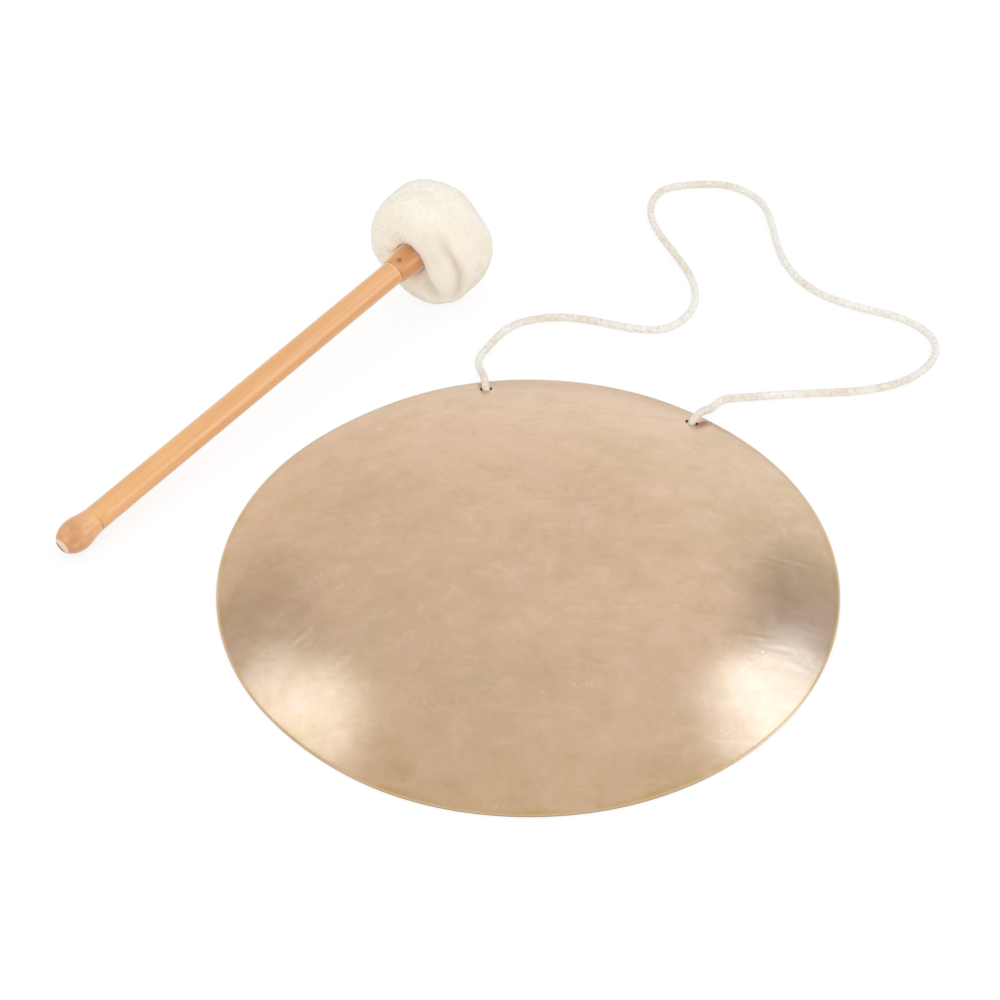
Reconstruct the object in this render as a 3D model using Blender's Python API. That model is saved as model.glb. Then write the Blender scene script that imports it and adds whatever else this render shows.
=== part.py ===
"""A wind gong with its hanging cord, and the beater that lies beside it, laid out on a flat surface.

Metres, +Z up. The gong lies face up on the plane z = 0 with its two cord holes towards +Y, and the beater
rests on the same plane, on its knob and its head. The origin is the middle of the rectangle of floor that
the gong and the beater cover.
"""

import math

import bmesh
import bpy
import numpy as np
from mathutils import Matrix, Vector

# Fits and resting
CLEARANCE = 0.0003            # between neighbouring pieces
FLOOR_GAP = 0.00005           # under a limp piece that lies on the surface

# Gong
GONG_RADIUS = 0.1525
SHEET_THICKNESS = 0.0013
FLAT_RADIUS = 0.061           # of the level middle of the face
FACE_DROP = 0.019             # from the level middle down to the rim
RIM_FLAT_WIDTH = 0.0008       # ground on the rim's underside
HOLE_DIAMETER = 0.0068
HOLE_INSET = 0.0126           # from the rim to a hole's middle
HOLE_SPACING = 0.113
GONG_STEPS = 80
FACE_STEPS = 7                # from the level middle to the rim
HOLE_SIDES = 24

# Hanging cord
CORD_DIAMETER = 0.0042
CORD_TURN = math.radians(18)  # the most that it bends from one point to the next
CORD_STEP = 0.0125            # the furthest that two of its points lie apart

# Stopper knots under the gong
KNOT_STRAND = 0.0032          # the cord's diameter where the knot squeezes it
KNOT_RING_RADIUS = 0.0049     # of the ring that the knot's strands wind along
KNOT_WIND_RADIUS = 0.0024     # of the strands about that ring
KNOT_CUT = 0.34               # radians of the wound ring left out at each end
KNOT_LEAD = KNOT_RING_RADIUS + KNOT_WIND_RADIUS + KNOT_STRAND  # from its middle to where it meets the cord
KNOT_TAIL = 0.9 * KNOT_LEAD   # from the knot's middle to the cut end
KNOT_HEIGHT = KNOT_WIND_RADIUS + KNOT_STRAND / 2 + FLOOR_GAP
KNOT_POINTS = 11              # that the wound ring is drawn through
KNOT_TURN = math.radians(26)  # the most that a knot bends from one point to the next

# Beater, measured along its axis from the butt
KNOB_LENGTH = 0.0219
KNOB_FAT_AT = 0.01
KNOB_RADIUS = 0.0086
KNOB_NECK_RADIUS = 0.0071
KNOB_POINTS = 5               # along its outline on each side of its fattest place
BUTT_FACET_RADIUS = 0.0039
GROOVE_WIDTH = 0.0006
GROOVE_DEPTH = 0.0006
SHAFT_RADIUS = 0.00675
SHAFT_TOP_RADIUS = 0.00695    # where it meets the collar
SHAFT_SWELL_LENGTH = 0.15     # over which it grows to that
SHAFT_LENGTH = 0.2298         # from the knob's groove to the collar
TENON_RADIUS = 0.0042
TENON_SHORT_OF_CORE = 0.002   # from the tenon's end to the core's front face
COLLAR_RING_RADIUS = 0.00715
COLLAR_RADIUS = 0.00885
COLLAR_FLARE_LENGTH = 0.015
COLLAR_POINTS = 5             # along its flare
COLLAR_EDGE = 0.0006          # rounding at the end that meets the shaft
PIN_RADIUS = 0.0008
PIN_AT = 0.005                # from the collar's end to the pin
PIN_PROUD = 0.0002
PIN_DEPTH_IN_TENON = 0.0024
PIN_TURN = math.radians(197.5)
PIN_STEPS = 12
PIN_HOLE_SIDES = 16
HEAD_RADIUS = 0.0344
HEAD_THICKNESS = 0.0406
HEAD_SQUARENESS = 3.3         # 2 is an ellipse, and more is a squarer drum
HEAD_SHOWN_COLLAR = 0.0178    # from the collar's end to the head's dished back
DIMPLE_RADIUS = 0.019
DIMPLE_DEPTH = 0.0045
COVER_THICKNESS = 0.003
THREAD_RADIUS = 0.0005
CORE_RADIUS = 0.02
CORE_THICKNESS = 0.016
CORE_CHAMFER = 0.001
TURNED_STEPS = 32
HEAD_STEPS = 40
HEAD_POINTS = 14              # along the head's outline, pole to neck

# Where the beater lies, from the gong's middle
BEATER_KNOB_PLACE = (-0.22225, -0.0375)
BEATER_AZIMUTH = math.radians(66.5)

# The cord's route. At each hole it is given outward and upward from the hole's middle
CORD_LYING = CORD_DIAMETER / 2 + FLOOR_GAP
CORD_FROM_KNOT = (-0.016, -0.011)
CORD_THROUGH_HOLE = (
    (-0.00296, -0.00208),
    (0.00117, 0.00088),
    (0.00352, 0.00201),
    (0.01005, 0.00186),
    (0.01858, -0.00148),
)
CORD_TO_SURFACE = 0.0298

# From there it lies on the surface, here from the gong's middle
CORD_LOOP = (
    (-0.0666, 0.1690),
    (-0.0590, 0.1900),
    (-0.0440, 0.2020),
    (-0.0200, 0.2070),
    (0.0050, 0.2056),
    (0.0250, 0.2098),
    (0.0364, 0.2310),
    (0.0200, 0.2775),
    (0.0030, 0.3010),
    (-0.0080, 0.3300),
    (-0.0042, 0.3475),
    (0.0130, 0.3583),
    (0.0330, 0.3622),
    (0.0520, 0.3535),
    (0.0665, 0.3270),
    (0.0775, 0.2960),
    (0.0970, 0.2700),
    (0.1270, 0.2573),
    (0.1550, 0.2515),
    (0.1732, 0.2350),
    (0.1685, 0.2060),
    (0.1395, 0.1820),
    (0.1020, 0.1690),
    (0.0775, 0.1597),
)

# Colours, roughness and metallic value
BRONZE = ((0.62, 0.46, 0.30), 0.32, 1.0)
COTTON = ((0.86, 0.82, 0.70), 0.9, 0.0)
PINE = ((0.80, 0.52, 0.25), 0.45, 0.0)
STAINED_PINE = ((0.68, 0.34, 0.13), 0.45, 0.0)
PLAIN_WOOD = ((0.72, 0.56, 0.36), 0.7, 0.0)
FELT = ((0.78, 0.74, 0.66), 0.95, 0.0)
FLEECE = ((0.88, 0.83, 0.72), 0.95, 0.0)
THREAD = ((0.85, 0.80, 0.68), 0.85, 0.0)
STEEL = ((0.30, 0.22, 0.16), 0.5, 1.0)


def clear_scene():
    for obj in list(bpy.data.objects):
        bpy.data.objects.remove(obj, do_unlink=True)


def material(name, finish):
    colour, roughness, metallic = finish
    mat = bpy.data.materials.new(name)
    mat.use_nodes = True
    shader = mat.node_tree.nodes["Principled BSDF"]
    shader.inputs["Base Color"].default_value = (*colour, 1.0)
    shader.inputs["Roughness"].default_value = roughness
    shader.inputs["Metallic"].default_value = metallic
    return mat


def empty(name, parent=None, location=(0, 0, 0), rotation=(0, 0, 0)):
    obj = bpy.data.objects.new(name, None)
    bpy.context.collection.objects.link(obj)
    obj.empty_display_size = 0.03
    obj.parent = parent
    obj.location = location
    obj.rotation_euler = rotation
    return obj


def place(name, data, finish, parent):
    obj = bpy.data.objects.new(name, data)
    bpy.context.collection.objects.link(obj)
    obj.parent = parent
    obj.data.materials.append(material(name, finish))
    return obj


def turned_mesh(name, profile, steps, closed=False):
    """A solid turned about Z. The profile holds (radius, height) points, open from pole to pole or a loop."""
    bm = bmesh.new()
    verts = [bm.verts.new((radius, 0.0, height)) for radius, height in profile]
    edges = [bm.edges.new(pair) for pair in zip(verts, verts[1:])]
    if closed:
        edges.append(bm.edges.new((verts[-1], verts[0])))
    bmesh.ops.spin(
        bm, geom=verts + edges, cent=(0, 0, 0), axis=(0, 0, 1), angle=math.tau, steps=steps, use_merge=True
    )
    bmesh.ops.remove_doubles(bm, verts=bm.verts, dist=1e-6)
    bmesh.ops.dissolve_degenerate(bm, dist=1e-7, edges=bm.edges)
    bmesh.ops.recalc_face_normals(bm, faces=bm.faces)
    mesh = bpy.data.meshes.new(name)
    bm.to_mesh(mesh)
    bm.free()
    mesh.shade_smooth()
    mesh.set_sharp_from_angle(angle=math.radians(35))
    return mesh


def smooth_curve(route, fine=24):
    """Points close together on the smoothest curve through the route's points."""
    p = np.array(route, float)
    span = np.linalg.norm(np.diff(p, axis=0), axis=1)
    count = len(p)
    system = np.eye(count)
    bend = np.zeros((count, 3))
    for i in range(1, count - 1):
        system[i, i - 1:i + 2] = span[i - 1], 2 * (span[i - 1] + span[i]), span[i]
        bend[i] = 6 * ((p[i + 1] - p[i]) / span[i] - (p[i] - p[i - 1]) / span[i - 1])
    bend = np.linalg.solve(system, bend)
    out = []
    for i in range(count - 1):
        b = np.linspace(0, 1, fine, endpoint=False)[:, None]
        a = 1 - b
        sag = ((a**3 - a) * bend[i] + (b**3 - b) * bend[i + 1]) * span[i] ** 2 / 6
        out.append(a * p[i] + b * p[i + 1] + sag)
    return np.vstack(out + [p[-1:]])


def thin_out(line, turn, step):
    """The fewest of the line's points that keep within the turn and the step from one to the next."""
    legs = np.diff(line, axis=0)
    legs /= np.linalg.norm(legs, axis=1)[:, None]
    kept = [0]
    turned = 0.0
    for i in range(1, len(line) - 1):
        turned += math.acos(min(1.0, float(legs[i - 1] @ legs[i])))
        if turned > turn or np.linalg.norm(line[i + 1] - line[kept[-1]]) > step:
            kept.append(i)
            turned = 0.0
    return line[kept + [len(line) - 1]]


def tube(name, points, diameter):
    curve = bpy.data.curves.new(name, "CURVE")
    curve.dimensions = "3D"
    curve.bevel_depth = diameter / 2
    curve.bevel_resolution = 2
    curve.use_fill_caps = True
    spline = curve.splines.new("POLY")
    spline.points.add(len(points) - 1)
    for point, place_at in zip(spline.points, points):
        point.co = (*place_at, 1.0)
    return curve


def cutter(name, radius, length, sides, parent, matrix):
    """A cylinder about its own Z that other pieces are bored with."""
    bm = bmesh.new()
    bmesh.ops.create_cone(
        bm, cap_ends=True, segments=sides, radius1=radius, radius2=radius, depth=length, matrix=matrix
    )
    mesh = bpy.data.meshes.new(name)
    bm.to_mesh(mesh)
    bm.free()
    obj = bpy.data.objects.new(name, mesh)
    bpy.context.collection.objects.link(obj)
    obj.parent = parent
    obj.hide_render = True
    obj.display_type = "WIRE"
    return obj


def bore(obj, tool):
    cut = obj.modifiers.new(tool.name, "BOOLEAN")
    cut.operation = "DIFFERENCE"
    cut.solver = "EXACT"
    cut.object = tool


# Gong


def face_slope(radius):
    """The face's slope, as a tangent, at a distance from the middle."""
    run = GONG_RADIUS - FLAT_RADIUS
    return 2 * FACE_DROP * max(0.0, radius - FLAT_RADIUS) / run**2


RIM_ANGLE = math.atan(face_slope(GONG_RADIUS))
RIM_TOP = SHEET_THICKNESS * math.cos(RIM_ANGLE) - RIM_FLAT_WIDTH * math.sin(RIM_ANGLE) * math.cos(RIM_ANGLE)
FACE_TOP = FACE_DROP + RIM_TOP


def face_height(radius):
    share = max(0.0, radius - FLAT_RADIUS) / (GONG_RADIUS - FLAT_RADIUS)
    return FACE_TOP - FACE_DROP * share**2


def sheet_point(radius, depth):
    """The (radius, height) of the point that lies a depth under the face, square to it."""
    angle = math.atan(face_slope(radius))
    return radius - depth * math.sin(angle), face_height(radius) - depth * math.cos(angle)


def gong_profile():
    radii = [FLAT_RADIUS + (GONG_RADIUS - FLAT_RADIUS) * i / FACE_STEPS for i in range(FACE_STEPS + 1)]
    face = [(0.0, FACE_TOP)] + [sheet_point(radius, 0.0) for radius in radii]
    flat_outside = GONG_RADIUS - RIM_TOP * math.tan(RIM_ANGLE)
    rim = [(flat_outside, 0.0), (flat_outside - RIM_FLAT_WIDTH, 0.0)]
    back = [sheet_point(radius, SHEET_THICKNESS) for radius in reversed(radii[:-1])]
    return face + rim + back + [(0.0, FACE_TOP - SHEET_THICKNESS)]


def hole_frame(side):
    """The place and lie of a cord hole, its Z square to the sheet."""
    radius = GONG_RADIUS - HOLE_INSET
    x = side * HOLE_SPACING / 2
    around = math.atan2(math.sqrt(radius**2 - x**2), x)
    middle_radius, height = sheet_point(radius, SHEET_THICKNESS / 2)
    lean = Matrix.Rotation(math.atan(face_slope(radius)), 4, "Y")
    return Matrix.Rotation(around, 4, "Z") @ Matrix.Translation((middle_radius, 0, height)) @ lean


def make_gong(parent):
    disc = place("gong_disc", turned_mesh("gong_disc", gong_profile(), GONG_STEPS), BRONZE, parent)
    for side, word in ((-1, "left"), (1, "right")):
        tool = cutter(
            f"cord_hole_{word}", HOLE_DIAMETER / 2, 10 * SHEET_THICKNESS, HOLE_SIDES, parent, hole_frame(side)
        )
        bore(disc, tool)
    return [disc]


# Cord and knots


def knot_points():
    """One overhand knot about the origin. Its leading end points to +X, and its tail lies beside it."""
    angles = np.linspace(KNOT_CUT, math.tau - KNOT_CUT, KNOT_POINTS)
    reach = KNOT_RING_RADIUS + KNOT_WIND_RADIUS * np.cos(3 * angles)
    rise = -KNOT_WIND_RADIUS * np.sin(3 * angles)
    wound = np.stack([reach * np.cos(2 * angles), reach * np.sin(2 * angles), rise], axis=1)
    aside = KNOT_STRAND / 2 + CLEARANCE
    level = CORD_LYING - KNOT_HEIGHT
    lead = [(KNOT_LEAD, aside, level), (KNOT_LEAD - KNOT_STRAND, aside, level)]
    tail = [(KNOT_TAIL, -aside, KNOT_WIND_RADIUS / 2)]
    line = smooth_curve(np.vstack([lead, wound, tail]), 12)
    line[:, 2] = line[:, 2].clip(-KNOT_WIND_RADIUS, KNOT_WIND_RADIUS)
    return thin_out(line, KNOT_TURN, 2 * KNOT_STRAND), aside


def least_self_gap(points, diameter):
    """The least gap between two stretches of a tube that aren't neighbours along it."""
    along = np.concatenate([[0], np.cumsum(np.linalg.norm(np.diff(points, axis=0), axis=1))])
    apart = np.linalg.norm(points[:, None] - points[None], axis=2)
    far = np.abs(along[:, None] - along[None]) > 2.5 * diameter
    return float(apart[far].min()) - diameter


def make_knot(name, cord_end, cord_next, parent):
    """A stopper knot that meets the cord's end face to face, and lies beyond it."""
    points, aside = knot_points()
    heading = Vector(cord_next) - Vector(cord_end)
    turn = math.atan2(heading.y, heading.x)
    middle = Vector(cord_end) - Matrix.Rotation(turn, 3, "Z") @ Vector((KNOT_LEAD + CLEARANCE, aside, 0))
    knot = place(name, tube(name, points, KNOT_STRAND), COTTON, parent)
    knot.location = (middle.x, middle.y, KNOT_HEIGHT)
    knot.rotation_euler = (0, 0, turn)
    print(name, "least gap to itself", round(least_self_gap(points, KNOT_STRAND) * 1000, 2), "mm")
    return knot


def cord_end(side):
    """The cord's route at one hole, from the knot out to the surface beyond the rim."""
    hole = hole_frame(side).translation
    outward = Vector((hole.x, hole.y, 0)).normalized()

    def at(out, height):
        spot = hole + outward * out
        return spot.x, spot.y, height

    return [
        *[at(out, CORD_LYING) for out in CORD_FROM_KNOT],
        *[at(out, hole.z + up) for out, up in CORD_THROUGH_HOLE],
        at(CORD_TO_SURFACE, CORD_LYING),
    ]


def make_cord(parent):
    loop = [(x, y, CORD_LYING) for x, y in CORD_LOOP]
    line = smooth_curve(cord_end(-1) + loop + cord_end(1)[::-1])
    line[:, 2] = np.maximum(line[:, 2], CORD_LYING)
    points = thin_out(line, CORD_TURN, CORD_STEP)
    cord = place("cord_loop", tube("cord_loop", points, CORD_DIAMETER), COTTON, parent)
    make_knot("stopper_knot_left", points[0], points[1], parent)
    make_knot("stopper_knot_right", points[-1], points[-2], parent)
    length = float(np.linalg.norm(np.diff(line, axis=0), axis=1).sum())
    print("cord length", round(length, 4), "m, points", len(points))
    return cord


# Beater, turned about its own Z, which runs from the butt to the head

GROOVE_END = KNOB_LENGTH + GROOVE_WIDTH
COLLAR_START = GROOVE_END + SHAFT_LENGTH
HEAD_BACK = COLLAR_START + HEAD_SHOWN_COLLAR - DIMPLE_DEPTH
HEAD_MIDDLE = HEAD_BACK + HEAD_THICKNESS / 2
CORE_BACK = HEAD_MIDDLE - CORE_THICKNESS / 2
CORE_FRONT = HEAD_MIDDLE + CORE_THICKNESS / 2
TENON_END = CORE_FRONT - TENON_SHORT_OF_CORE
NECK_RADIUS = COLLAR_RADIUS + CLEARANCE


def knob_outline():
    k = math.sqrt(1 - (BUTT_FACET_RADIUS / KNOB_RADIUS) ** 2)
    end = []
    for i in range(KNOB_POINTS + 1):
        at = KNOB_FAT_AT * (1 - math.cos(math.pi / 2 * i / KNOB_POINTS))
        end.append((KNOB_RADIUS * math.sqrt(1 - (k * (1 - at / KNOB_FAT_AT)) ** 2), at))
    waist = []
    for i in range(1, KNOB_POINTS + 1):
        ease = (1 + math.cos(math.pi * i / KNOB_POINTS)) / 2
        at = KNOB_FAT_AT + (KNOB_LENGTH - KNOB_FAT_AT) * i / KNOB_POINTS
        waist.append((KNOB_NECK_RADIUS + (KNOB_RADIUS - KNOB_NECK_RADIUS) * ease, at))
    return end + waist


def handle_profile():
    groove_radius = SHAFT_RADIUS - GROOVE_DEPTH
    return [
        (0.0, 0.0),
        *knob_outline(),
        (groove_radius, KNOB_LENGTH),
        (groove_radius, GROOVE_END),
        (SHAFT_RADIUS, GROOVE_END),
        (SHAFT_RADIUS, COLLAR_START - SHAFT_SWELL_LENGTH),
        (SHAFT_TOP_RADIUS, COLLAR_START - CLEARANCE),
        (TENON_RADIUS, COLLAR_START - CLEARANCE),
        (TENON_RADIUS, TENON_END),
        (0.0, TENON_END),
    ]


def collar_radius_at(beyond):
    """The collar's outer radius, a distance beyond its end."""
    share = min(1.0, beyond / COLLAR_FLARE_LENGTH)
    return COLLAR_RING_RADIUS + (COLLAR_RADIUS - COLLAR_RING_RADIUS) * math.sin(math.pi / 2 * share)


def collar_profile():
    bore_radius = TENON_RADIUS + CLEARANCE
    run = COLLAR_FLARE_LENGTH - COLLAR_EDGE
    flare = [COLLAR_EDGE + run * i / COLLAR_POINTS for i in range(COLLAR_POINTS + 1)]
    return [
        (bore_radius, COLLAR_START),
        (COLLAR_RING_RADIUS - COLLAR_EDGE, COLLAR_START),
        *[(collar_radius_at(beyond), COLLAR_START + beyond) for beyond in flare],
        (COLLAR_RADIUS, CORE_BACK - CLEARANCE),
        (bore_radius, CORE_BACK - CLEARANCE),
    ]


def core_profile():
    bore_radius = TENON_RADIUS + CLEARANCE
    return [
        (bore_radius, CORE_BACK),
        (CORE_RADIUS - CORE_CHAMFER, CORE_BACK),
        (CORE_RADIUS, CORE_BACK + CORE_CHAMFER),
        (CORE_RADIUS, CORE_FRONT - CORE_CHAMFER),
        (CORE_RADIUS - CORE_CHAMFER, CORE_FRONT),
        (bore_radius, CORE_FRONT),
    ]


def dimple(radius):
    """How far the head's back is drawn in towards the collar."""
    share = max(0.0, DIMPLE_RADIUS - radius) / (DIMPLE_RADIUS - NECK_RADIUS)
    return DIMPLE_DEPTH * share**2


def head_outline(inset, neck_radius, count):
    """From the front pole to the neck, on a surface that lies inside the head's skin by the inset."""
    reach = HEAD_THICKNESS / 2 - inset
    width = HEAD_RADIUS - inset
    power = 2 / HEAD_SQUARENESS
    last = math.pi - math.asin((neck_radius / width) ** (1 / power))
    points = []
    for i in range(count):
        angle = last * i / (count - 1)
        radius = width * math.sin(angle) ** power if i else 0.0
        along = math.copysign(reach * abs(math.cos(angle)) ** power, math.cos(angle))
        drawn = dimple(radius) if angle > math.pi / 2 else 0.0
        points.append((radius, HEAD_MIDDLE + along + drawn))
    return points


def cover_profile():
    outside = head_outline(0.0, NECK_RADIUS, HEAD_POINTS)
    inside = head_outline(COVER_THICKNESS, NECK_RADIUS, HEAD_POINTS - 2)
    return outside + inside[::-1]


THREAD_SEAT = head_outline(COVER_THICKNESS, NECK_RADIUS, HEAD_POINTS)[-1][1]
THREAD_RING_RADIUS = NECK_RADIUS + THREAD_RADIUS
THREAD_AT = THREAD_SEAT + CLEARANCE + THREAD_RADIUS


def cut_short(outline, radius):
    """The outline from its pole to where it comes back in to the radius."""
    kept = list(outline)
    while kept[-1][0] < radius:
        inner = kept.pop()
    outer = kept[-1]
    share = (outer[0] - radius) / (outer[0] - inner[0])
    return kept + [(radius, outer[1] + (inner[1] - outer[1]) * share)]


def padding_profile():
    inset = COVER_THICKNESS + CLEARANCE
    inner_neck = NECK_RADIUS * (HEAD_RADIUS - inset) / (HEAD_RADIUS - COVER_THICKNESS)
    rebate_radius = THREAD_RING_RADIUS + THREAD_RADIUS + CLEARANCE
    rebate_floor = THREAD_AT + THREAD_RADIUS + CLEARANCE
    cavity_radius = CORE_RADIUS + CLEARANCE
    return [
        *cut_short(head_outline(inset, inner_neck, HEAD_POINTS - 2), rebate_radius),
        (rebate_radius, rebate_floor),
        (NECK_RADIUS, rebate_floor),
        (NECK_RADIUS, CORE_BACK - CLEARANCE),
        (cavity_radius, CORE_BACK - CLEARANCE),
        (cavity_radius, CORE_FRONT + CLEARANCE),
        (0.0, CORE_FRONT + CLEARANCE),
    ]


def thread_profile(sides=8):
    angles = [math.tau * i / sides for i in range(sides)]
    return [
        (THREAD_RING_RADIUS + THREAD_RADIUS * math.cos(a), THREAD_AT + THREAD_RADIUS * math.sin(a))
        for a in angles
    ]


def pin_profile():
    """From the pin's inner end out to its domed head, as distances from the beater's axis."""
    inner = TENON_RADIUS - PIN_DEPTH_IN_TENON
    outer = collar_radius_at(PIN_AT) + PIN_PROUD
    return [
        (0.0, inner),
        (PIN_RADIUS, inner),
        (PIN_RADIUS, outer - PIN_RADIUS / 2),
        (PIN_RADIUS * 0.7, outer - PIN_RADIUS / 6),
        (0.0, outer),
    ]


def rest_tilt():
    """The tilt at which the knob and the head both touch the surface, and the butt's height there."""
    def depth(outline, tilt):
        return max(radius * math.cos(tilt) - along * math.sin(tilt) for radius, along in outline)

    knob = knob_outline()
    head = head_outline(0.0, NECK_RADIUS, HEAD_POINTS)
    low, high = 0.0, math.radians(30)
    for _ in range(50):
        tilt = (low + high) / 2
        if depth(head, tilt) > depth(knob, tilt):
            low = tilt
        else:
            high = tilt
    return tilt, depth(knob, tilt)


def make_beater(parent):
    tilt, butt_height = rest_tilt()
    back = KNOB_FAT_AT * math.cos(tilt)
    butt = (
        BEATER_KNOB_PLACE[0] - back * math.cos(BEATER_AZIMUTH),
        BEATER_KNOB_PLACE[1] - back * math.sin(BEATER_AZIMUTH),
        butt_height,
    )
    axis = empty("beater_axis", parent, butt, (0, math.pi / 2 - tilt, BEATER_AZIMUTH))

    handle = place("mallet_handle", turned_mesh("mallet_handle", handle_profile(), TURNED_STEPS), PINE, axis)
    collar_mesh = turned_mesh("mallet_collar", collar_profile(), TURNED_STEPS, True)
    collar = place("mallet_collar", collar_mesh, STAINED_PINE, axis)
    core = place("head_core", turned_mesh("head_core", core_profile(), TURNED_STEPS, True), PLAIN_WOOD, axis)
    padding = place("head_padding", turned_mesh("head_padding", padding_profile(), HEAD_STEPS), FELT, axis)
    cover = place("head_cover", turned_mesh("head_cover", cover_profile(), HEAD_STEPS), FLEECE, axis)
    thread = place(
        "cover_thread", turned_mesh("cover_thread", thread_profile(), TURNED_STEPS, True), THREAD, axis
    )

    pin_lie = (0, math.pi / 2, PIN_TURN)
    pin_axis = empty("pin_axis", axis, (0, 0, COLLAR_START + PIN_AT), pin_lie)
    pin = place("collar_pin", turned_mesh("collar_pin", pin_profile(), PIN_STEPS), STEEL, pin_axis)
    hole_bottom = TENON_RADIUS - PIN_DEPTH_IN_TENON - CLEARANCE
    hole_length = 2 * COLLAR_RADIUS - hole_bottom
    middle = Matrix.Translation((0, 0, hole_bottom + hole_length / 2))
    tool = cutter("pin_hole", PIN_RADIUS + CLEARANCE, hole_length, PIN_HOLE_SIDES, pin_axis, middle)
    bore(handle, tool)
    bore(collar, tool)
    return [handle, collar, core, padding, cover, thread, pin]


def floor_middle(objects):
    """The middle of the rectangle of floor that the objects cover."""
    bpy.context.view_layer.update()
    graph = bpy.context.evaluated_depsgraph_get()
    corners = []
    for obj in objects:
        shown = obj.evaluated_get(graph)
        mesh = shown.to_mesh()
        places = np.array([tuple(shown.matrix_world @ v.co) for v in mesh.vertices])
        corners += [places.min(axis=0), places.max(axis=0)]
        shown.to_mesh_clear()
    corners = np.array(corners)
    return (corners.min(axis=0) + corners.max(axis=0)) / 2


def main():
    clear_scene()
    layout = empty("layout")
    pieces = make_gong(layout) + make_beater(layout)
    make_cord(layout)
    middle = floor_middle(pieces)
    layout.location = (-middle[0], -middle[1], 0.0)
    bpy.context.view_layer.update()
    print("gong's middle", np.round(layout.location, 6).tolist(), "face height", round(FACE_TOP, 6))


main()
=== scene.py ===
"""The looks of a wind gong, its hanging cord and the beater beside it, on a white studio floor."""

import math

import bmesh
import bpy
import numpy as np
from mathutils import Matrix, Vector, noise


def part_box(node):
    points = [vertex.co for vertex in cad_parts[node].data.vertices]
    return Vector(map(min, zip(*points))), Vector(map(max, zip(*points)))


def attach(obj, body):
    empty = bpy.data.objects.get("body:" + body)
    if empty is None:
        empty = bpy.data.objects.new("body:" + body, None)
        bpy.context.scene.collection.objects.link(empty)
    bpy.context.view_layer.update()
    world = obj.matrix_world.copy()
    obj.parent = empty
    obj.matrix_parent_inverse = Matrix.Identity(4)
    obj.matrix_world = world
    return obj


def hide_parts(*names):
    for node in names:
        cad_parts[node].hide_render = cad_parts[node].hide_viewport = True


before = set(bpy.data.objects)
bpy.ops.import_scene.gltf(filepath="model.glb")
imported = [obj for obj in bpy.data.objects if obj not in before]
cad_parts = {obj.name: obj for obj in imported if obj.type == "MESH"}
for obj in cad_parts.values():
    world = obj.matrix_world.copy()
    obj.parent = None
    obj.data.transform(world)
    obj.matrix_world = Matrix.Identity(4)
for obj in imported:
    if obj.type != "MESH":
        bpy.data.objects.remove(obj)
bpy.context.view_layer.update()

# Places that the frame gives
GONG_LOW, GONG_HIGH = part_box("gong_disc")
GONG_RADIUS = (GONG_HIGH.x - GONG_LOW.x) / 2
FACE_TOP = GONG_HIGH.z
GONG_ON_FLOOR = (GONG_LOW + GONG_HIGH) / 2
GONG_ON_FLOOR.z = 0

# Gong, in metres
SHEET_THICKNESS = 0.0013
FLAT_RADIUS = 0.061
FACE_DROP = 0.019
RIM_ROUNDING = 0.0003
HOLE_DIAMETER = 0.0068
HOLE_INSET = 0.0126
HOLE_SPACING = 0.113

# Cord and knots
FLOOR_GAP = 0.00005
CORD_DIAMETER = 0.0042
CORD_LYING = CORD_DIAMETER / 2 + FLOOR_GAP
CORD_FROM_KNOT = (-0.016, -0.011)
CORD_THROUGH_HOLE = (
    (-0.00296, -0.00208),
    (0.00117, 0.00088),
    (0.00352, 0.00201),
    (0.01005, 0.00186),
    (0.01858, -0.00148),
)
CORD_TO_SURFACE = 0.0298
CORD_LOOP = (
    (-0.0666, 0.1690), (-0.0590, 0.1900), (-0.0440, 0.2020), (-0.0200, 0.2070),
    (0.0050, 0.2056), (0.0250, 0.2098), (0.0364, 0.2310), (0.0200, 0.2775),
    (0.0030, 0.3010), (-0.0080, 0.3300), (-0.0042, 0.3475), (0.0130, 0.3583),
    (0.0330, 0.3622), (0.0520, 0.3535), (0.0665, 0.3270), (0.0775, 0.2960),
    (0.0970, 0.2700), (0.1270, 0.2573), (0.1550, 0.2515), (0.1732, 0.2350),
    (0.1685, 0.2060), (0.1395, 0.1820), (0.1020, 0.1690), (0.0775, 0.1597),
)
KNOT_STRAND = 0.0032
KNOT_RING_RADIUS = 0.0049
KNOT_WIND_RADIUS = 0.0024
KNOT_CUT = 0.34
KNOT_LEAD = KNOT_RING_RADIUS + KNOT_WIND_RADIUS + KNOT_STRAND
KNOT_TAIL = 0.9 * KNOT_LEAD
KNOT_HEIGHT = KNOT_WIND_RADIUS + KNOT_STRAND / 2 + FLOOR_GAP
KNOT_POINTS = 11
CLEARANCE = 0.0003

# Beater, measured along its axis from the butt
KNOB_LENGTH = 0.0219
KNOB_FAT_AT = 0.01
KNOB_RADIUS = 0.0086
KNOB_NECK_RADIUS = 0.00695
BUTT_FACET_RADIUS = 0.0039
GROOVE_WIDTH = 0.0006
GROOVE_DEPTH = 0.0006
SHAFT_RADIUS = 0.00675
SHAFT_TOP_RADIUS = 0.00695
SHAFT_SWELL_LENGTH = 0.15
SHAFT_LENGTH = 0.2298
SHAFT_CHAMFER = 0.0002
JOINT_GAP = 0.00005
TENON_RADIUS = 0.0042
TENON_IN_HEAD = 0.02
COLLAR_RING_RADIUS = 0.00715
COLLAR_RADIUS = 0.00885
COLLAR_FLARE_LENGTH = 0.015
COLLAR_EDGE = 0.0003
COLLAR_IN_HEAD = 0.01
PIN_RADIUS = 0.0008
PIN_AT = 0.005
PIN_PROUD = 0.0002
PIN_DEPTH_IN_TENON = 0.0024
PIN_TURN = math.radians(197.5)
HEAD_RADIUS = 0.0344
HEAD_THICKNESS = 0.0406
HEAD_SQUARENESS = 3.3
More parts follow.
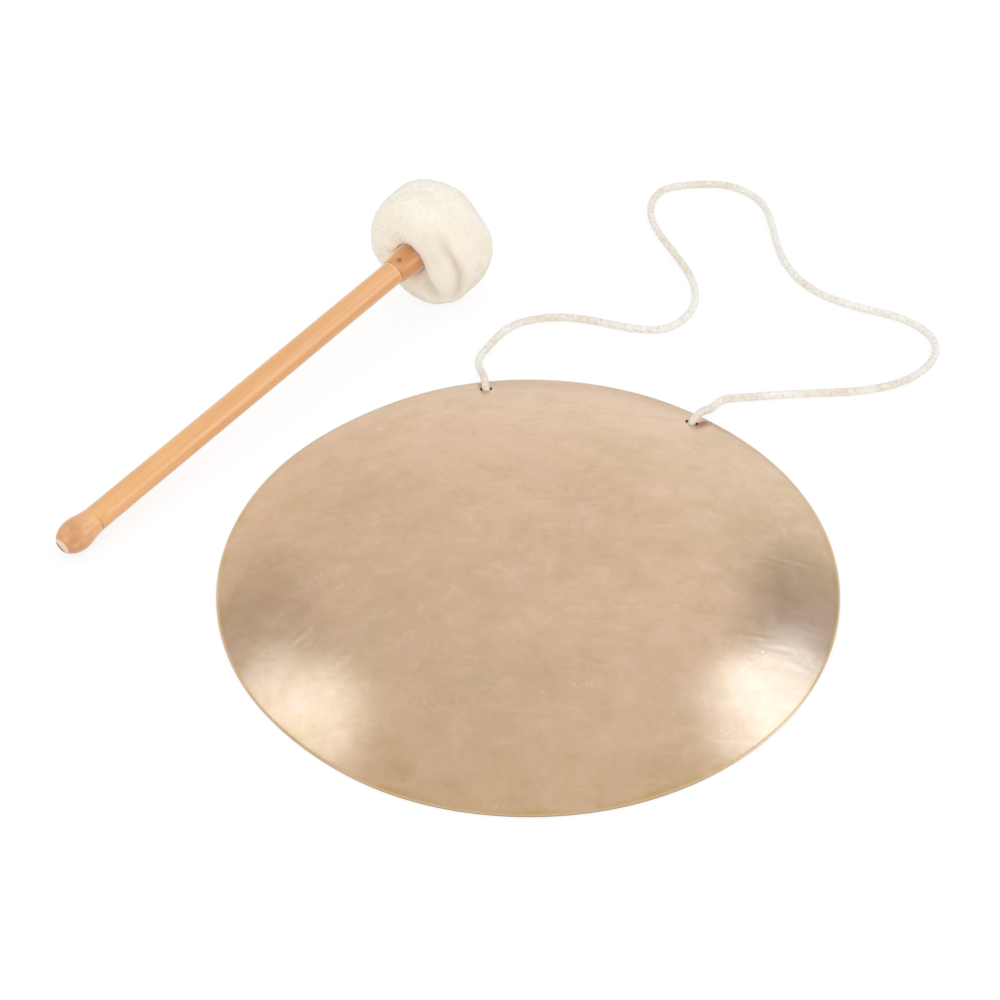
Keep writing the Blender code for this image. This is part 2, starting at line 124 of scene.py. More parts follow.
HEAD_SHOWN_COLLAR = 0.0178
DIMPLE_RADIUS = 0.019
DIMPLE_DEPTH = 0.0045
COVER_THICKNESS = 0.003
GROOVE_END = KNOB_LENGTH + GROOVE_WIDTH
COLLAR_START = GROOVE_END + SHAFT_LENGTH
HEAD_BACK = COLLAR_START + HEAD_SHOWN_COLLAR - DIMPLE_DEPTH
HEAD_MIDDLE = HEAD_BACK + HEAD_THICKNESS / 2
NECK_RADIUS = COLLAR_RADIUS + CLEARANCE / 2

# Camera, from the gong's middle. Its tilt is in degrees, as the studio's directions are
CAMERA_PLACE = Vector((0.1789, -0.6831, 0.6855))
CAMERA_AZIMUTH = math.radians(15.73)
CAMERA_TILT = -42.01
CAMERA_ROLL = math.radians(-0.78)
CAMERA_LENS = 72.0
CAMERA_SENSOR = 36.0

# Studio. Patches are azimuth, elevation and width in degrees, and what they add to the brightness
STUDIO_LOW = 1.07
STUDIO_HIGH = 0.955
STUDIO_FILL = 0.84
STUDIO_PATCHES = (
    (-46, 39, 17, (-0.41, -0.45, -0.47)),
    (46.5, 35.5, 17, (-0.60, -0.61, -0.66)),
    (20, 14, 40, (0.07, 0.12, 0.16)),
    (40, 20, 12, (-0.05, -0.06, -0.06)),
    (-25, 12, 28, (-0.04, -0.08, -0.13)),
    (12, 40, 15, (0.05, 0.04, 0.04)),
    (-20, 57, 18, (-0.06, -0.06, -0.06)),
    (-82, 67, 16, (-0.14, -0.18, -0.26)),
    (81, 65, 16, (-0.08, -0.10, -0.18)),
    (180, 78, 30, (-0.07, -0.09, -0.17)),
    (100, 17, 22, (1.8, 1.8, 1.8)),
)
WHITE = (1.0, 1.0, 1.0)

# The floor glows around the gong and not under it, and some of its own shading shows through
FLOOR_HALF = 3.0
FLOOR_DROP = 0.0002
FLOOR_COLOUR = (0.9, 0.89, 0.88)
FLOOR_SHADING = 0.22
FLOOR_GLOW = 1.05
FLOOR_GLOWS_FROM = (GONG_RADIUS - 0.006, GONG_RADIUS - 0.003)

# Lamps: name, azimuth, elevation, distance, size, power, colour, and whether gloss shows them
LAMPS = (
    ("softbox_left", -67.4, 50.7, 1.67, (0.60, 0.60), 1.25, (0.74, 1.0, 1.28), True),
    ("softbox_right", 66.9, 47.8, 1.68, (0.61, 0.61), 1.75, (0.75, 1.03, 1.50), True),
    ("softbox_low", 100, 20, 1.8, (0.8, 1.0), 1.4, WHITE, True),
    ("softbox_front_left", -142, 26, 1.9, (1.2, 1.0), 5.6, (1.0, 0.98, 0.95), False),
    ("softbox_front_right", 145, 26, 1.9, (1.2, 1.0), 3.9, (1.0, 0.98, 0.94), False),
)

# The Mix node's sockets for colours
MIX_COLOUR_INPUTS = (6, 7)
MIX_COLOUR_OUTPUT = 2


# Scene


def new_object(name, data):
    made = bpy.data.objects.new(name, data)
    bpy.context.collection.objects.link(made)
    return made


def make_camera():
    ahead = studio_direction(0, CAMERA_TILT)
    level = Vector((math.cos(CAMERA_AZIMUTH), math.sin(CAMERA_AZIMUTH), 0))
    upright = level.cross(ahead)
    right = math.cos(CAMERA_ROLL) * level + math.sin(CAMERA_ROLL) * upright
    up = right.cross(ahead)
    lie = Matrix((right, up, -ahead)).transposed().to_4x4()
    data = bpy.data.cameras.new("camera")
    data.lens = CAMERA_LENS
    data.sensor_width = CAMERA_SENSOR
    camera = new_object("camera", data)
    camera.matrix_world = Matrix.Translation(GONG_ON_FLOOR + CAMERA_PLACE) @ lie
    bpy.context.scene.camera = camera


def studio_direction(azimuth, elevation):
    """A unit vector, with azimuth in degrees to the right of straight away from the camera."""
    turn = CAMERA_AZIMUTH - math.radians(azimuth)
    rise = math.radians(elevation)
    return Vector((-math.sin(turn) * math.cos(rise), math.cos(turn) * math.cos(rise), math.sin(rise)))


def make_lamp(name, azimuth, elevation, distance, size, watts, colour, mirrored):
    data = bpy.data.lights.new(name, "AREA")
    data.shape = "RECTANGLE"
    data.size, data.size_y = size
    data.energy = watts
    data.color = colour
    lamp = new_object(name, data)
    lamp.visible_glossy = mirrored
    towards = studio_direction(azimuth, elevation)
    lamp.location = GONG_ON_FLOOR + towards * distance
    lamp.rotation_mode = "QUATERNION"
    lamp.rotation_quaternion = towards.to_track_quat("Z", "Y")


class Nodes:
    """Adds nodes to a shader tree."""

    def __init__(self, tree):
        self.tree = tree

    def add(self, kind, inputs=(), **settings):
        """A new node. Each input is linked, where a socket is given for it, or set."""
        made = self.tree.nodes.new("ShaderNode" + kind)
        for key, value in settings.items():
            setattr(made, key, value)
        for key, value in dict(inputs).items():
            if isinstance(value, bpy.types.NodeSocket):
                self.tree.links.new(value, made.inputs[key])
            else:
                made.inputs[key].default_value = value
        return made

    def range(self, value, low, high, to_low=0.0, to_high=1.0):
        inputs = {"Value": value, "From Min": low, "From Max": high, "To Min": to_low, "To Max": to_high}
        return self.add("MapRange", inputs, interpolation_type="SMOOTHSTEP").outputs["Result"]

    def maths(self, operation, a, b):
        return self.add("Math", {0: a, 1: b}, operation=operation).outputs[0]

    def times(self, a, b):
        return self.maths("MULTIPLY", a, b)

    def mix(self, factor, a, b):
        inputs = {0: factor}
        for index, colour in zip(MIX_COLOUR_INPUTS, (a, b)):
            inputs[index] = colour if isinstance(colour, bpy.types.NodeSocket) else (*colour, 1.0)
        return self.add("Mix", inputs, data_type="RGBA").outputs[MIX_COLOUR_OUTPUT]


class Paint(Nodes):
    """Builds one material's nodes around its Principled shader."""

    def __init__(self, name, **values):
        self.material = bpy.data.materials.new(name)
        self.material.use_nodes = True
        super().__init__(self.material.node_tree)
        self.shader = self.tree.nodes["Principled BSDF"]
        for key, value in values.items():
            self.shader.inputs[key.replace("_", " ")].default_value = value

    def link(self, **links):
        """Links sockets to the shader's inputs, and gives the material."""
        for name, socket in links.items():
            self.tree.links.new(socket, self.shader.inputs[name.replace("_", " ")])
        return self.material

    def place(self, lie=None, stretch=1.0):
        """The place on the piece, or in a frame of its own where lie is given, drawn out along its Z."""
        where = self.add("TexCoord").outputs["Object"]
        if lie is None:
            return where
        inputs = {"Vector": where, "Location": lie.translation, "Rotation": lie.to_euler()}
        inputs["Scale"] = (1, 1, stretch)
        return self.add("Mapping", inputs, vector_type="TEXTURE").outputs["Vector"]

    def split(self, where):
        return self.add("SeparateXYZ", {0: where}).outputs

    def length(self, where):
        return self.add("VectorMath", {0: where}, operation="LENGTH").outputs["Value"]

    def radius(self, where):
        """The distance from the Z axis."""
        return self.length(self.add("VectorMath", {0: where, 1: (1, 1, 0)}, operation="MULTIPLY").outputs[0])

    def attribute(self, name):
        return self.add("Attribute", attribute_name=name).outputs["Fac"]

    def noise(self, where, scale, detail, roughness, distortion=0.0):
        inputs = {"Vector": where, "Scale": scale, "Detail": detail, "Roughness": roughness}
        inputs["Distortion"] = distortion
        return self.add("TexNoise", inputs).outputs["Fac"]

    def tint(self, colour, *tints):
        """Mixes tones in. Each has a value, its limits, the share mixed in at the second, and a colour."""
        for value, (low, high), most, tone in tints:
            colour = self.mix(self.range(value, low, high, 0.0, most), colour, tone)
        return colour

    def bump(self, height, strength, distance):
        inputs = {"Height": height, "Strength": strength, "Distance": distance}
        return self.add("Bump", inputs).outputs["Normal"]


def make_world():
    """White behind everything, a soft studio in the metal, and an even light on the rest."""
    world = bpy.data.worlds.new("studio")
    world.use_nodes = True
    bpy.context.scene.world = world
    world.node_tree.nodes.clear()
    sky = Nodes(world.node_tree)
    towards = sky.add("TexCoord").outputs["Generated"]
    height = sky.add("SeparateXYZ", {0: towards}).outputs["Z"]
    seen = sky.range(height, 0.0, 1.0, STUDIO_LOW, STUDIO_HIGH)
    for azimuth, elevation, width, change in STUDIO_PATCHES:
        inputs = {0: towards, 1: studio_direction(azimuth, elevation)}
        facing = sky.add("VectorMath", inputs, operation="DOT_PRODUCT").outputs["Value"]
        patch = sky.range(facing, math.cos(math.radians(width)), 1.0)
        inputs = {0: patch, 1: change, 2: seen}
        seen = sky.add("VectorMath", inputs, operation="MULTIPLY_ADD").outputs["Vector"]
    path = sky.add("LightPath").outputs
    plain = sky.maths("MAXIMUM", path["Is Camera Ray"], path["Is Transmission Ray"])
    mirrored = sky.mix(path["Is Glossy Ray"], (STUDIO_FILL, STUDIO_FILL, STUDIO_FILL), seen)
    background = sky.add("Background", {"Color": sky.mix(plain, mirrored, WHITE)})
    sky.add("OutputWorld", {"Surface": background.outputs[0]})


def make_floor():
    """A white floor that keeps the object's faint shadow."""
    bm = bmesh.new()
    bmesh.ops.create_grid(bm, x_segments=1, y_segments=1, size=FLOOR_HALF)
    floor = new_object("studio_floor", mesh_from(bm, "studio_floor"))
    floor.location = GONG_ON_FLOOR - Vector((0, 0, FLOOR_DROP))
    paint = Paint("studio_floor", Roughness=1.0, Specular_IOR_Level=0.0, Base_Color=(*FLOOR_COLOUR, 1))
    path = paint.add("LightPath").outputs
    shown = paint.maths("MAXIMUM", path["Is Camera Ray"], path["Is Glossy Ray"])
    glow = paint.add("Emission", {"Color": (*WHITE, 1), "Strength": FLOOR_GLOW})
    around = paint.range(paint.length(paint.place()), *FLOOR_GLOWS_FROM)
    share = paint.times(paint.times(shown, around), 1 - FLOOR_SHADING)
    both = paint.add("MixShader", {0: share, 1: paint.shader.outputs[0], 2: glow.outputs[0]})
    paint.tree.links.new(both.outputs[0], paint.tree.nodes["Material Output"].inputs["Surface"])
    floor.data.materials.append(paint.material)


def make_studio():
    make_world()
    make_floor()
    for lamp in LAMPS:
        make_lamp(*lamp)


# Shapes

SHARP_ANGLE = math.radians(35)
BORE_STEPS = 48
Z_TO_X = Matrix.Rotation(math.pi / 2, 4, "Y")


def mesh_object(name, data, material, body, nodes):
    """A piece with its finish, which rides on its body in place of its nodes."""
    piece = new_object(name, data)
    data.materials.append(material)
    # the gong doesn't mirror the beater
    piece.visible_glossy = body != "mallet"
    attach(piece, body)
    if nodes:
        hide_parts(*nodes)
    return piece


def mesh_from(bm, name):
    mesh = bpy.data.meshes.new(name)
    bm.to_mesh(mesh)
    bm.free()
    return mesh


def smooth_mesh(name, verts, faces):
    mesh = bpy.data.meshes.new(name)
    mesh.from_pydata(verts.reshape(-1, 3).tolist(), [], faces)
    mesh.update()
    mesh.shade_smooth()
    return mesh


def grid_mesh(name, points, **attributes):
    """A closed tube with flat ends, from an array of rings of points, with values kept at the points."""
    rings, around = points.shape[:2]
    ring = np.arange(around)
    ahead = np.roll(ring, -1)
    starts = (np.arange(rings - 1) * around)[:, None]
    quads = np.stack([starts + ring, starts + ahead, starts + around + ahead, starts + around + ring], axis=2)
    faces = quads.reshape(-1, 4).tolist()
    faces.append(list(range(around))[::-1])
    faces.append(list(range((rings - 1) * around, rings * around)))
    mesh = smooth_mesh(name, points, faces)
    for label, values in attributes.items():
        made = mesh.attributes.new(label, "FLOAT", "POINT")
        made.data.foreach_set("value", np.asarray(values, np.float32).ravel())
    return mesh


def turned_mesh(name, profile, steps):
    """A solid turned about Z from (radius, height) points that run from pole to pole, or in a loop."""
    bm = bmesh.new()
    verts = [bm.verts.new((radius, 0.0, height)) for radius, height in profile]
    pairs = list(zip(verts, verts[1:]))
    if profile[0][0] > 0:
        pairs.append((verts[-1], verts[0]))
    edges = [bm.edges.new(pair) for pair in pairs]
    bmesh.ops.spin(
        bm, geom=verts + edges, cent=(0, 0, 0), axis=(0, 0, 1), angle=math.tau, steps=steps, use_merge=True
    )
    bmesh.ops.remove_doubles(bm, verts=bm.verts, dist=1e-6)
    bmesh.ops.dissolve_degenerate(bm, dist=1e-7, edges=bm.edges)
    bmesh.ops.recalc_face_normals(bm, faces=bm.faces)
    mesh = mesh_from(bm, name)
    mesh.shade_smooth()
    mesh.set_sharp_from_angle(angle=SHARP_ANGLE)
    return mesh


def bore(piece, place, radius, depth):
    """Cuts a round hole about the Z of a place."""
    bm = bmesh.new()
    bmesh.ops.create_cone(
        bm, cap_ends=True, segments=BORE_STEPS, radius1=radius, radius2=radius, depth=depth, matrix=place
    )
    tool = new_object("cutter", mesh_from(bm, "cutter"))
    cut = piece.modifiers.new("bore", "BOOLEAN")
    cut.operation = "DIFFERENCE"
    cut.solver = "EXACT"
    cut.object = tool
    graph = bpy.context.evaluated_depsgraph_get()
    made = bpy.data.meshes.new_from_object(piece.evaluated_get(graph))
    piece.modifiers.clear()
    piece.data = made
    bpy.data.objects.remove(tool)


def full_turn(count):
    return np.linspace(0, math.tau, count, endpoint=False)


def shares(steps):
    """Even shares of one, from the first step to the last."""
    return [i / steps for i in range(1, steps + 1)]


def ring_points(radius, height, angles):
    """Rings of points about Z. The radius and the height are given for each ring or each point."""
    x = radius * np.cos(angles)
    y = radius * np.sin(angles)
    return np.stack([x, y, height + 0 * x], axis=2)


def moved(points, place):
    """The points moved by a matrix."""
    matrix = np.array(place)
    return points @ matrix[:3, :3].T + matrix[:3, 3]


def unit(rows):
    return rows / np.linalg.norm(rows, axis=1)[:, None]


def smooth_share(value):
    share = np.clip(value, 0, 1)
    return share * share * (3 - 2 * share)


def noise_at(spots):
    """Smooth noise at each point of an array."""
    values = [noise.noise(Vector(spot)) for spot in spots.reshape(-1, 3).tolist()]
    return np.array(values).reshape(spots.shape[:-1])


def step_lengths(line):
    return np.linalg.norm(np.diff(line, axis=0), axis=1)


def line_length(line):
    return float(step_lengths(line).sum())


def spread(line, count):
    """A number of points spaced evenly along the line."""
    gone = np.concatenate([[0], np.cumsum(step_lengths(line))])
    spots = np.linspace(0, gone[-1], count)
    return np.stack([np.interp(spots, gone, column) for column in line.T], axis=1)


def evenly(line, step):
    """The line's points spaced evenly, about a step apart."""
    return spread(line, int(round(line_length(line) / step)) + 1)


# Gong


def face_slope(radius):
    run = GONG_RADIUS - FLAT_RADIUS
    return 2 * FACE_DROP * np.maximum(0.0, radius - FLAT_RADIUS) / run**2


def face_height(radius):
    share = np.maximum(0.0, radius - FLAT_RADIUS) / (GONG_RADIUS - FLAT_RADIUS)
    return FACE_TOP - FACE_DROP * share**2


def hole_frame(side):
    """The place and lie of a cord hole, its Z square to the sheet."""
    radius = GONG_RADIUS - HOLE_INSET
    x = side * HOLE_SPACING / 2
    around = math.atan2(math.sqrt(radius**2 - x**2), x)
    angle = math.atan(face_slope(radius))
    middle_radius = radius - SHEET_THICKNESS / 2 * math.sin(angle)
    height = face_height(radius) - SHEET_THICKNESS / 2 * math.cos(angle)
    lean = Matrix.Rotation(angle, 4, "Y")
    return Matrix.Rotation(around, 4, "Z") @ Matrix.Translation((middle_radius, 0, height)) @ lean


# Marks in the sheet: place right and away from the camera, half length, half width, lie in degrees,
# the distance from wave to wave, and height
HAMMER_MARKS = (
    (-0.125, -0.002, 0.009, 0.0045, 38, 0.0065, 0.000034),
    (-0.115, -0.025, 0.008, 0.0040, 28, 0.0060, -0.000040),
    (-0.138, -0.034, 0.007, 0.0030, 45, 0.0060, -0.000030),
    (-0.107, -0.051, 0.008, 0.0045, 45, 0.0062, 0.000037),
    (-0.086, -0.068, 0.009, 0.0060, 50, 0.0075, 0.000030),
    (-0.065, -0.018, 0.016, 0.0050, 20, 0.0066, 0.000016),
    (-0.122, 0.023, 0.010, 0.0100, 30, 0.0120, 0.000050),
    (0.1055, -0.0560, 0.0085, 0.0026, 0, 0.0052, 0.000024),
    (0.1175, -0.0615, 0.0055, 0.0028, 2, 0.0056, -0.000034),
    (0.1260, -0.0690, 0.0070, 0.0032, -16, 0.0070, 0.000026),
    (0.128, -0.005, 0.014, 0.0035, -3, 0.0060, 0.000034),
    (0.107, -0.018, 0.010, 0.0030, -3, 0.0060, -0.000030),
    (0.115, -0.024, 0.016, 0.0035, -3, 0.0064, 0.000032),
    (0.034, -0.035, 0.020, 0.0040, -4, 0.0064, 0.000014),
    (0.022, -0.012, 0.055, 0.0080, -2, 0.0080, 0.000012),
    (0.124, 0.026, 0.009, 0.0080, 60, 0.0130, 0.000050),
    (-0.055, 0.038, 0.004, 0.0160, 5, 0.0090, 0.000016),
)
# Groups of small strokes: how many, where in degrees from the camera's right, and their lie and its spread
STROKE_GROUPS = (
    (46, (150, 235), (38, 16)),
    (30, (-60, 25), (-4, 9)),
    (24, (60, 140), (0, 25)),
)
STROKE_SEED = 11
STROKE_REACH = (0.085, 0.148)
STROKE_LENGTH = (0.004, 0.011)
STROKE_WIDTH = (0.0020, 0.0036)
STROKE_HEIGHT = (0.000005, 0.000017)
# The distance from wave to wave in a stroke, in half widths
STROKE_WAVE = 1.9
# How a mark's waves shift along it, in radians a metre
MARK_SLANT = 60
# The outline's flats: where, in degrees from the camera's right, their half width and how far they lie in
RIM_FLATS = (
    (126, 17, 0.0015),
    (225, 17, 0.0010),
    (265, 20, 0.0005),
    (45, 14, 0.0005),
)
# Waves all over the sheet: size, height, share of it in the middle, and seed
SHEET_WAVES = (
    (0.050, 0.00016, 0.0, 3.1),
    (0.013, 0.000030, 0.35, 7.7),
    (0.0062, 0.000009, 0.25, 9.2),
)
WAVES_FROM = 0.03
WAVES_GROW = 0.09
RIM_CALM = 0.004
FLAT_FADE = 4
FIRST_RING = 0.0008
GONG_AROUND = 600
INNER_RINGS = 26
OUTER_RINGS = 80
BACK_RINGS = 24
RIM_STEPS = 6
GONG_SHARP_ANGLE = math.radians(50)
HOLE_CUT = 10 * SHEET_THICKNESS


def turned(x, y, angle):
    """Places in axes that are turned by an angle."""
    c, s = math.cos(angle), math.sin(angle)
    return x * c + y * s, -x * s + y * c


def hammer_strokes():
    """The small strokes, in the same form as the marks."""
    rng = np.random.default_rng(STROKE_SEED)
    strokes = []
    for count, (low, high), (turn, spread) in STROKE_GROUPS:
        for _ in range(count):
            at = math.radians(rng.uniform(low, high))
            radius = rng.uniform(*STROKE_REACH)
            wide = rng.uniform(*STROKE_WIDTH)
            tall = rng.uniform(*STROKE_HEIGHT) * rng.choice((-1, 1))
            place = (radius * math.cos(at), radius * math.sin(at))
            lie = rng.normal(turn, spread)
            strokes.append((*place, rng.uniform(*STROKE_LENGTH), wide, lie, STROKE_WAVE * wide, tall))
    return strokes


def hammering(x, y):
    """The height of the hand-worked waves in the sheet, at places from its middle."""
    radius = np.hypot(x, y)
    outer = smooth_share((radius - WAVES_FROM) / WAVES_GROW)
    across, along = turned(x, y, CAMERA_AZIMUTH)
    height = np.zeros_like(x)
    for size, tall, calm, seed in SHEET_WAVES:
        spots = np.stack([x / size, y / size, np.full_like(x, seed)], axis=2)
        height += noise_at(spots) * tall * (calm + (1 - calm) * outer)
    for right, away, long, wide, turn, wave, tall in list(HAMMER_MARKS) + hammer_strokes():
        u, v = turned(across - right, along - away, math.radians(turn))
        near = np.exp(-(u / long) ** 2 - (v / wide) ** 2)
        height += tall * near * np.cos(math.tau * v / wave + MARK_SLANT * u)
    return height * smooth_share((GONG_RADIUS - radius) / RIM_CALM)


def rim_inset(angles):
    """How far the outline lies inside a true circle."""
    inset = np.zeros_like(angles)
    for middle, half, depth in RIM_FLATS:
        off = (np.degrees(angles - CAMERA_AZIMUTH) - middle + 180) % 360 - 180
        inset += depth * np.exp(-(off / half) ** 2)
    return inset


def rim_points(inset, angles):
    """The rounded edge between the face and the back."""
    turn = np.linspace(0, math.pi, RIM_STEPS + 1)[1:-1, None]
    out = RIM_ROUNDING * np.sin(turn)
    depth = SHEET_THICKNESS / 2 * (1 - np.cos(turn))
    lean = math.atan(face_slope(GONG_RADIUS))
    edge = GONG_RADIUS - RIM_ROUNDING
    reach = edge + out * math.cos(lean) - depth * math.sin(lean) - inset
    height = face_height(edge) - depth * math.cos(lean) - out * math.sin(lean)
    return ring_points(reach, height, angles)


def gong_mesh():
    inner = np.linspace(FIRST_RING, FLAT_RADIUS, INNER_RINGS, endpoint=False)
    outer = np.linspace(FLAT_RADIUS, GONG_RADIUS - RIM_ROUNDING, OUTER_RINGS)
    rings = np.concatenate([inner, outer])[:, None]
    angles = full_turn(GONG_AROUND)
    inset = rim_inset(angles)

    def surface(radii, depth, waves):
        lean = np.arctan(face_slope(radii))
        reach = radii - depth * np.sin(lean) - inset * (radii / GONG_RADIUS) ** FLAT_FADE
        return ring_points(reach, face_height(radii) - depth * np.cos(lean) + waves, angles)

    face = surface(rings, 0.0, hammering(rings * np.cos(angles), rings * np.sin(angles)))
    back = surface(np.linspace(rings[-1], rings[0], BACK_RINGS), SHEET_THICKNESS, 0.0)
    points = np.concatenate([face, rim_points(inset, angles), back])
    points[..., 2] = np.maximum(points[..., 2], 0.0)
    return grid_mesh("gong", points)


def make_gong():
    middle = Matrix.Translation(GONG_ON_FLOOR)
    mesh = gong_mesh()
    mesh.transform(middle)
    mesh.flip_normals()
    gong = mesh_object("gong", mesh, bronze(), "gong", ["gong_disc"])
    for side in (-1, 1):
        bore(gong, middle @ hole_frame(side), HOLE_DIAMETER / 2, HOLE_CUT)
    gong.data.set_sharp_from_angle(angle=GONG_SHARP_ANGLE)


# Finish of the bronze. The rim's limits are distances from the gong's middle, and its painted foot shadow has
# heights too
NOISE_START = Vector((-0.7, -0.9, -0.5))
SCRATCH_TURNS = (28, -41, 83)
BAND_WANDER = 0.018
BAND_LIMITS = (GONG_RADIUS + 0.0045, GONG_RADIUS + 0.011)
LIP_HIGHLIGHT_LIMITS = (GONG_RADIUS - 0.0018, GONG_RADIUS - 0.0010)
FOOT_SHADOW_LIMITS = (GONG_RADIUS - 0.0030, GONG_RADIUS - 0.0025)
FOOT_SHADOW_HEIGHTS = (0.0010, 0.0007)


def sheet_grain(turn):
    """A frame whose Z lies in the sheet, at an angle in degrees from the camera's right."""
    around = Matrix.Rotation(CAMERA_AZIMUTH + math.radians(turn), 4, "Z")
    return Matrix.Translation(NOISE_START) @ around @ Z_TO_X


def bronze_tones(paint, where, mottle):
    """Clouds, mottling and rolled lines, each from a yellower tone to a pinker one."""
    cloud = paint.noise(where, 9, 5, 0.6, 0.3)
    patch = paint.noise(where, 30, 6, 0.66, 0.4)
    rolled = paint.noise(paint.place(sheet_grain(0), 7), 150, 4, 0.6, 0.4)
    grain = paint.noise(where, 280, 3, 0.6)
    colour = paint.mix(paint.range(cloud, 0.35, 0.65), (0.605, 0.43, 0.275), (0.685, 0.475, 0.325))
    return paint.tint(
        colour,
        (patch, (0.5, 0.7), 0.6, (0.61, 0.445, 0.27)),
        (patch, (0.5, 0.32), 0.55, (0.70, 0.47, 0.355)),
        (mottle, (0.5, 0.68), 0.5, (0.565, 0.395, 0.235)),
        (mottle, (0.5, 0.32), 0.5, (0.72, 0.515, 0.375)),
        (grain, (0.5, 0.72), 0.2, (0.60, 0.435, 0.26)),
        (grain, (0.5, 0.28), 0.2, (0.70, 0.485, 0.355)),
        (rolled, (0.55, 0.75), 0.4, (0.57, 0.40, 0.26)),
        (rolled, (0.45, 0.25), 0.4, (0.72, 0.52, 0.37)),
    )


def bronze_rim(paint, where, colour):
    """A ragged browner band inside the rim, a painted highlight along its lip, and a painted contact shadow
    at its foot.
    """
    middle = paint.place(Matrix.Translation(GONG_ON_FLOOR))
    radius = paint.radius(middle)
    ragged = paint.maths("ADD", radius, paint.times(paint.noise(where, 38, 6, 0.7), BAND_WANDER))
    colour = paint.tint(
        colour,
        (ragged, BAND_LIMITS, 0.9, (0.56, 0.385, 0.175)),
        # painted highlight along the rim's lip
        (radius, LIP_HIGHLIGHT_LIMITS, 0.3, (0.76, 0.58, 0.40)),
    )
    # painted contact shadow on the lowest part of the rim, next to the floor
    low = paint.range(paint.split(middle)["Z"], *FOOT_SHADOW_HEIGHTS, 0.0, 0.85)
    foot_shadow = paint.times(paint.range(radius, *FOOT_SHADOW_LIMITS), low)
    return paint.mix(foot_shadow, colour, (0.24, 0.13, 0.065))


def bronze_marks(paint, where, colour):
    """Tarnish specks and short scratches."""
    dots = paint.add("TexVoronoi", {"Vector": where, "Scale": 170.0}, feature="F1").outputs["Distance"]
    rare = paint.range(paint.noise(where, 190, 2, 0.5), 0.60, 0.66)
    speck = paint.times(paint.range(dots, 0.12, 0.04), rare)
    colour = paint.mix(paint.times(speck, 0.4), colour, (0.36, 0.25, 0.15))
    scratch = 0.0
    for turn in SCRATCH_TURNS:
        line = paint.range(paint.noise(paint.place(sheet_grain(turn), 14), 1500, 1, 0.5), 0.68, 0.74)
        scratch = paint.maths("MAXIMUM", scratch, line)
    here = paint.range(paint.noise(where, 50, 2, 0.5), 0.58, 0.66, 0.0, 0.45)
    return paint.mix(paint.times(scratch, here), colour, (0.84, 0.67, 0.50))


def bronze():
    paint = Paint("bronze", Metallic=1.0)
    where = paint.place(Matrix.Translation(NOISE_START))
    mottle = paint.noise(where, 70, 6, 0.68, 0.4)
    colour = bronze_tones(paint, where, mottle)
    colour = bronze_rim(paint, where, colour)
    colour = bronze_marks(paint, where, colour)
    haze = paint.range(paint.noise(where, 16, 6, 0.65, 0.3), 0.3, 0.7, 0.19, 0.265)
    return paint.link(Base_Color=colour, Roughness=haze, Normal=paint.bump(mottle, 0.05, 0.0003))


# Cord and knots

# The braid's strands each way, and how they rise and dip as they cross
BRAID_STRANDS = 10
BRAID_AROUND = 50
BRAID_STEP = 0.00042
BRAID_RELIEF = 0.00042
BRAID_RADIUS = 0.00216
STRAND_ROUNDNESS = 0.92
STRAND_RISE = 0.5
STRAND_RANGE = 1.25
CORD_SEED = 5
CORD_UNEVEN = (-0.04, 0.03)
CORD_UNEVEN_STEPS = 90
CORD_FINE = 24
KNOT_FINE = 12
KNOT_EVEN_STEPS = 9


def smooth_curve(route, fine):
    """Points close together on the smoothest curve through the route's points."""
    p = np.array(route, float)
    span = step_lengths(p)
    count = len(p)
    system = np.eye(count)
    bend = np.zeros((count, 3))
    for i in range(1, count - 1):
        system[i, i - 1:i + 2] = span[i - 1], 2 * (span[i - 1] + span[i]), span[i]
        bend[i] = 6 * ((p[i + 1] - p[i]) / span[i] - (p[i] - p[i - 1]) / span[i - 1])
    bend = np.linalg.solve(system, bend)
    out = []
    for i in range(count - 1):
        b = np.linspace(0, 1, fine, endpoint=False)[:, None]
        a = 1 - b
        sag = ((a**3 - a) * bend[i] + (b**3 - b) * bend[i + 1]) * span[i] ** 2 / 6
        out.append(a * p[i] + b * p[i + 1] + sag)
    return np.vstack(out + [p[-1:]])


def carried_frames(line):
    """Two directions square to the line at each point, carried along it without twist."""
    ahead = unit(np.gradient(line, axis=0))
    side = np.cross(ahead[0], (0.0, 0.0, 1.0))
    sides = []
    for direction in ahead:
        side = side - direction * (side @ direction)
        side /= np.linalg.norm(side)
        sides.append(side)
    sides = np.array(sides)
    return sides, np.cross(ahead, sides)


def braid_mesh(name, line, radii):
    """A braided cord along the line: strands wind both ways and pass over and under each other."""
    line = evenly(line, BRAID_STEP)
    rings = len(line)
    radius = np.interp(np.linspace(0, 1, rings), np.linspace(0, 1, len(radii)), radii)[:, None]
    side, up = carried_frames(line)
    turn = full_turn(BRAID_AROUND)[None, :]
    along = np.arange(rings)[:, None] * BRAID_STEP
    pitch = math.tau * CORD_DIAMETER / 2
    u = BRAID_STRANDS * (turn / math.tau + along / pitch)
    v = BRAID_STRANDS * (turn / math.tau - along / pitch)

    def strand(across, lengthwise, sign):
        number = np.floor(across)
        place = 2 * (across - number) - 1
        crown = np.sqrt(np.clip(1 - STRAND_ROUNDNESS * place**2, 0, 1))
        return crown + STRAND_RISE * sign * np.cos(math.pi * (lengthwise - 0.5 + number))

    height = np.maximum(strand(u, v, 1), strand(v, u, -1))
    hollow = np.clip((1 + STRAND_RISE - height) / STRAND_RANGE, 0, 1)
    reach = radius - BRAID_RELIEF * hollow
    points = line[:, None] + reach[..., None] * (
        side[:, None] * np.cos(turn)[..., None] + up[:, None] * np.sin(turn)[..., None]
    )
    points[..., 2] = np.maximum(points[..., 2], 0.0)
    return grid_mesh(name, points, hollow=hollow)


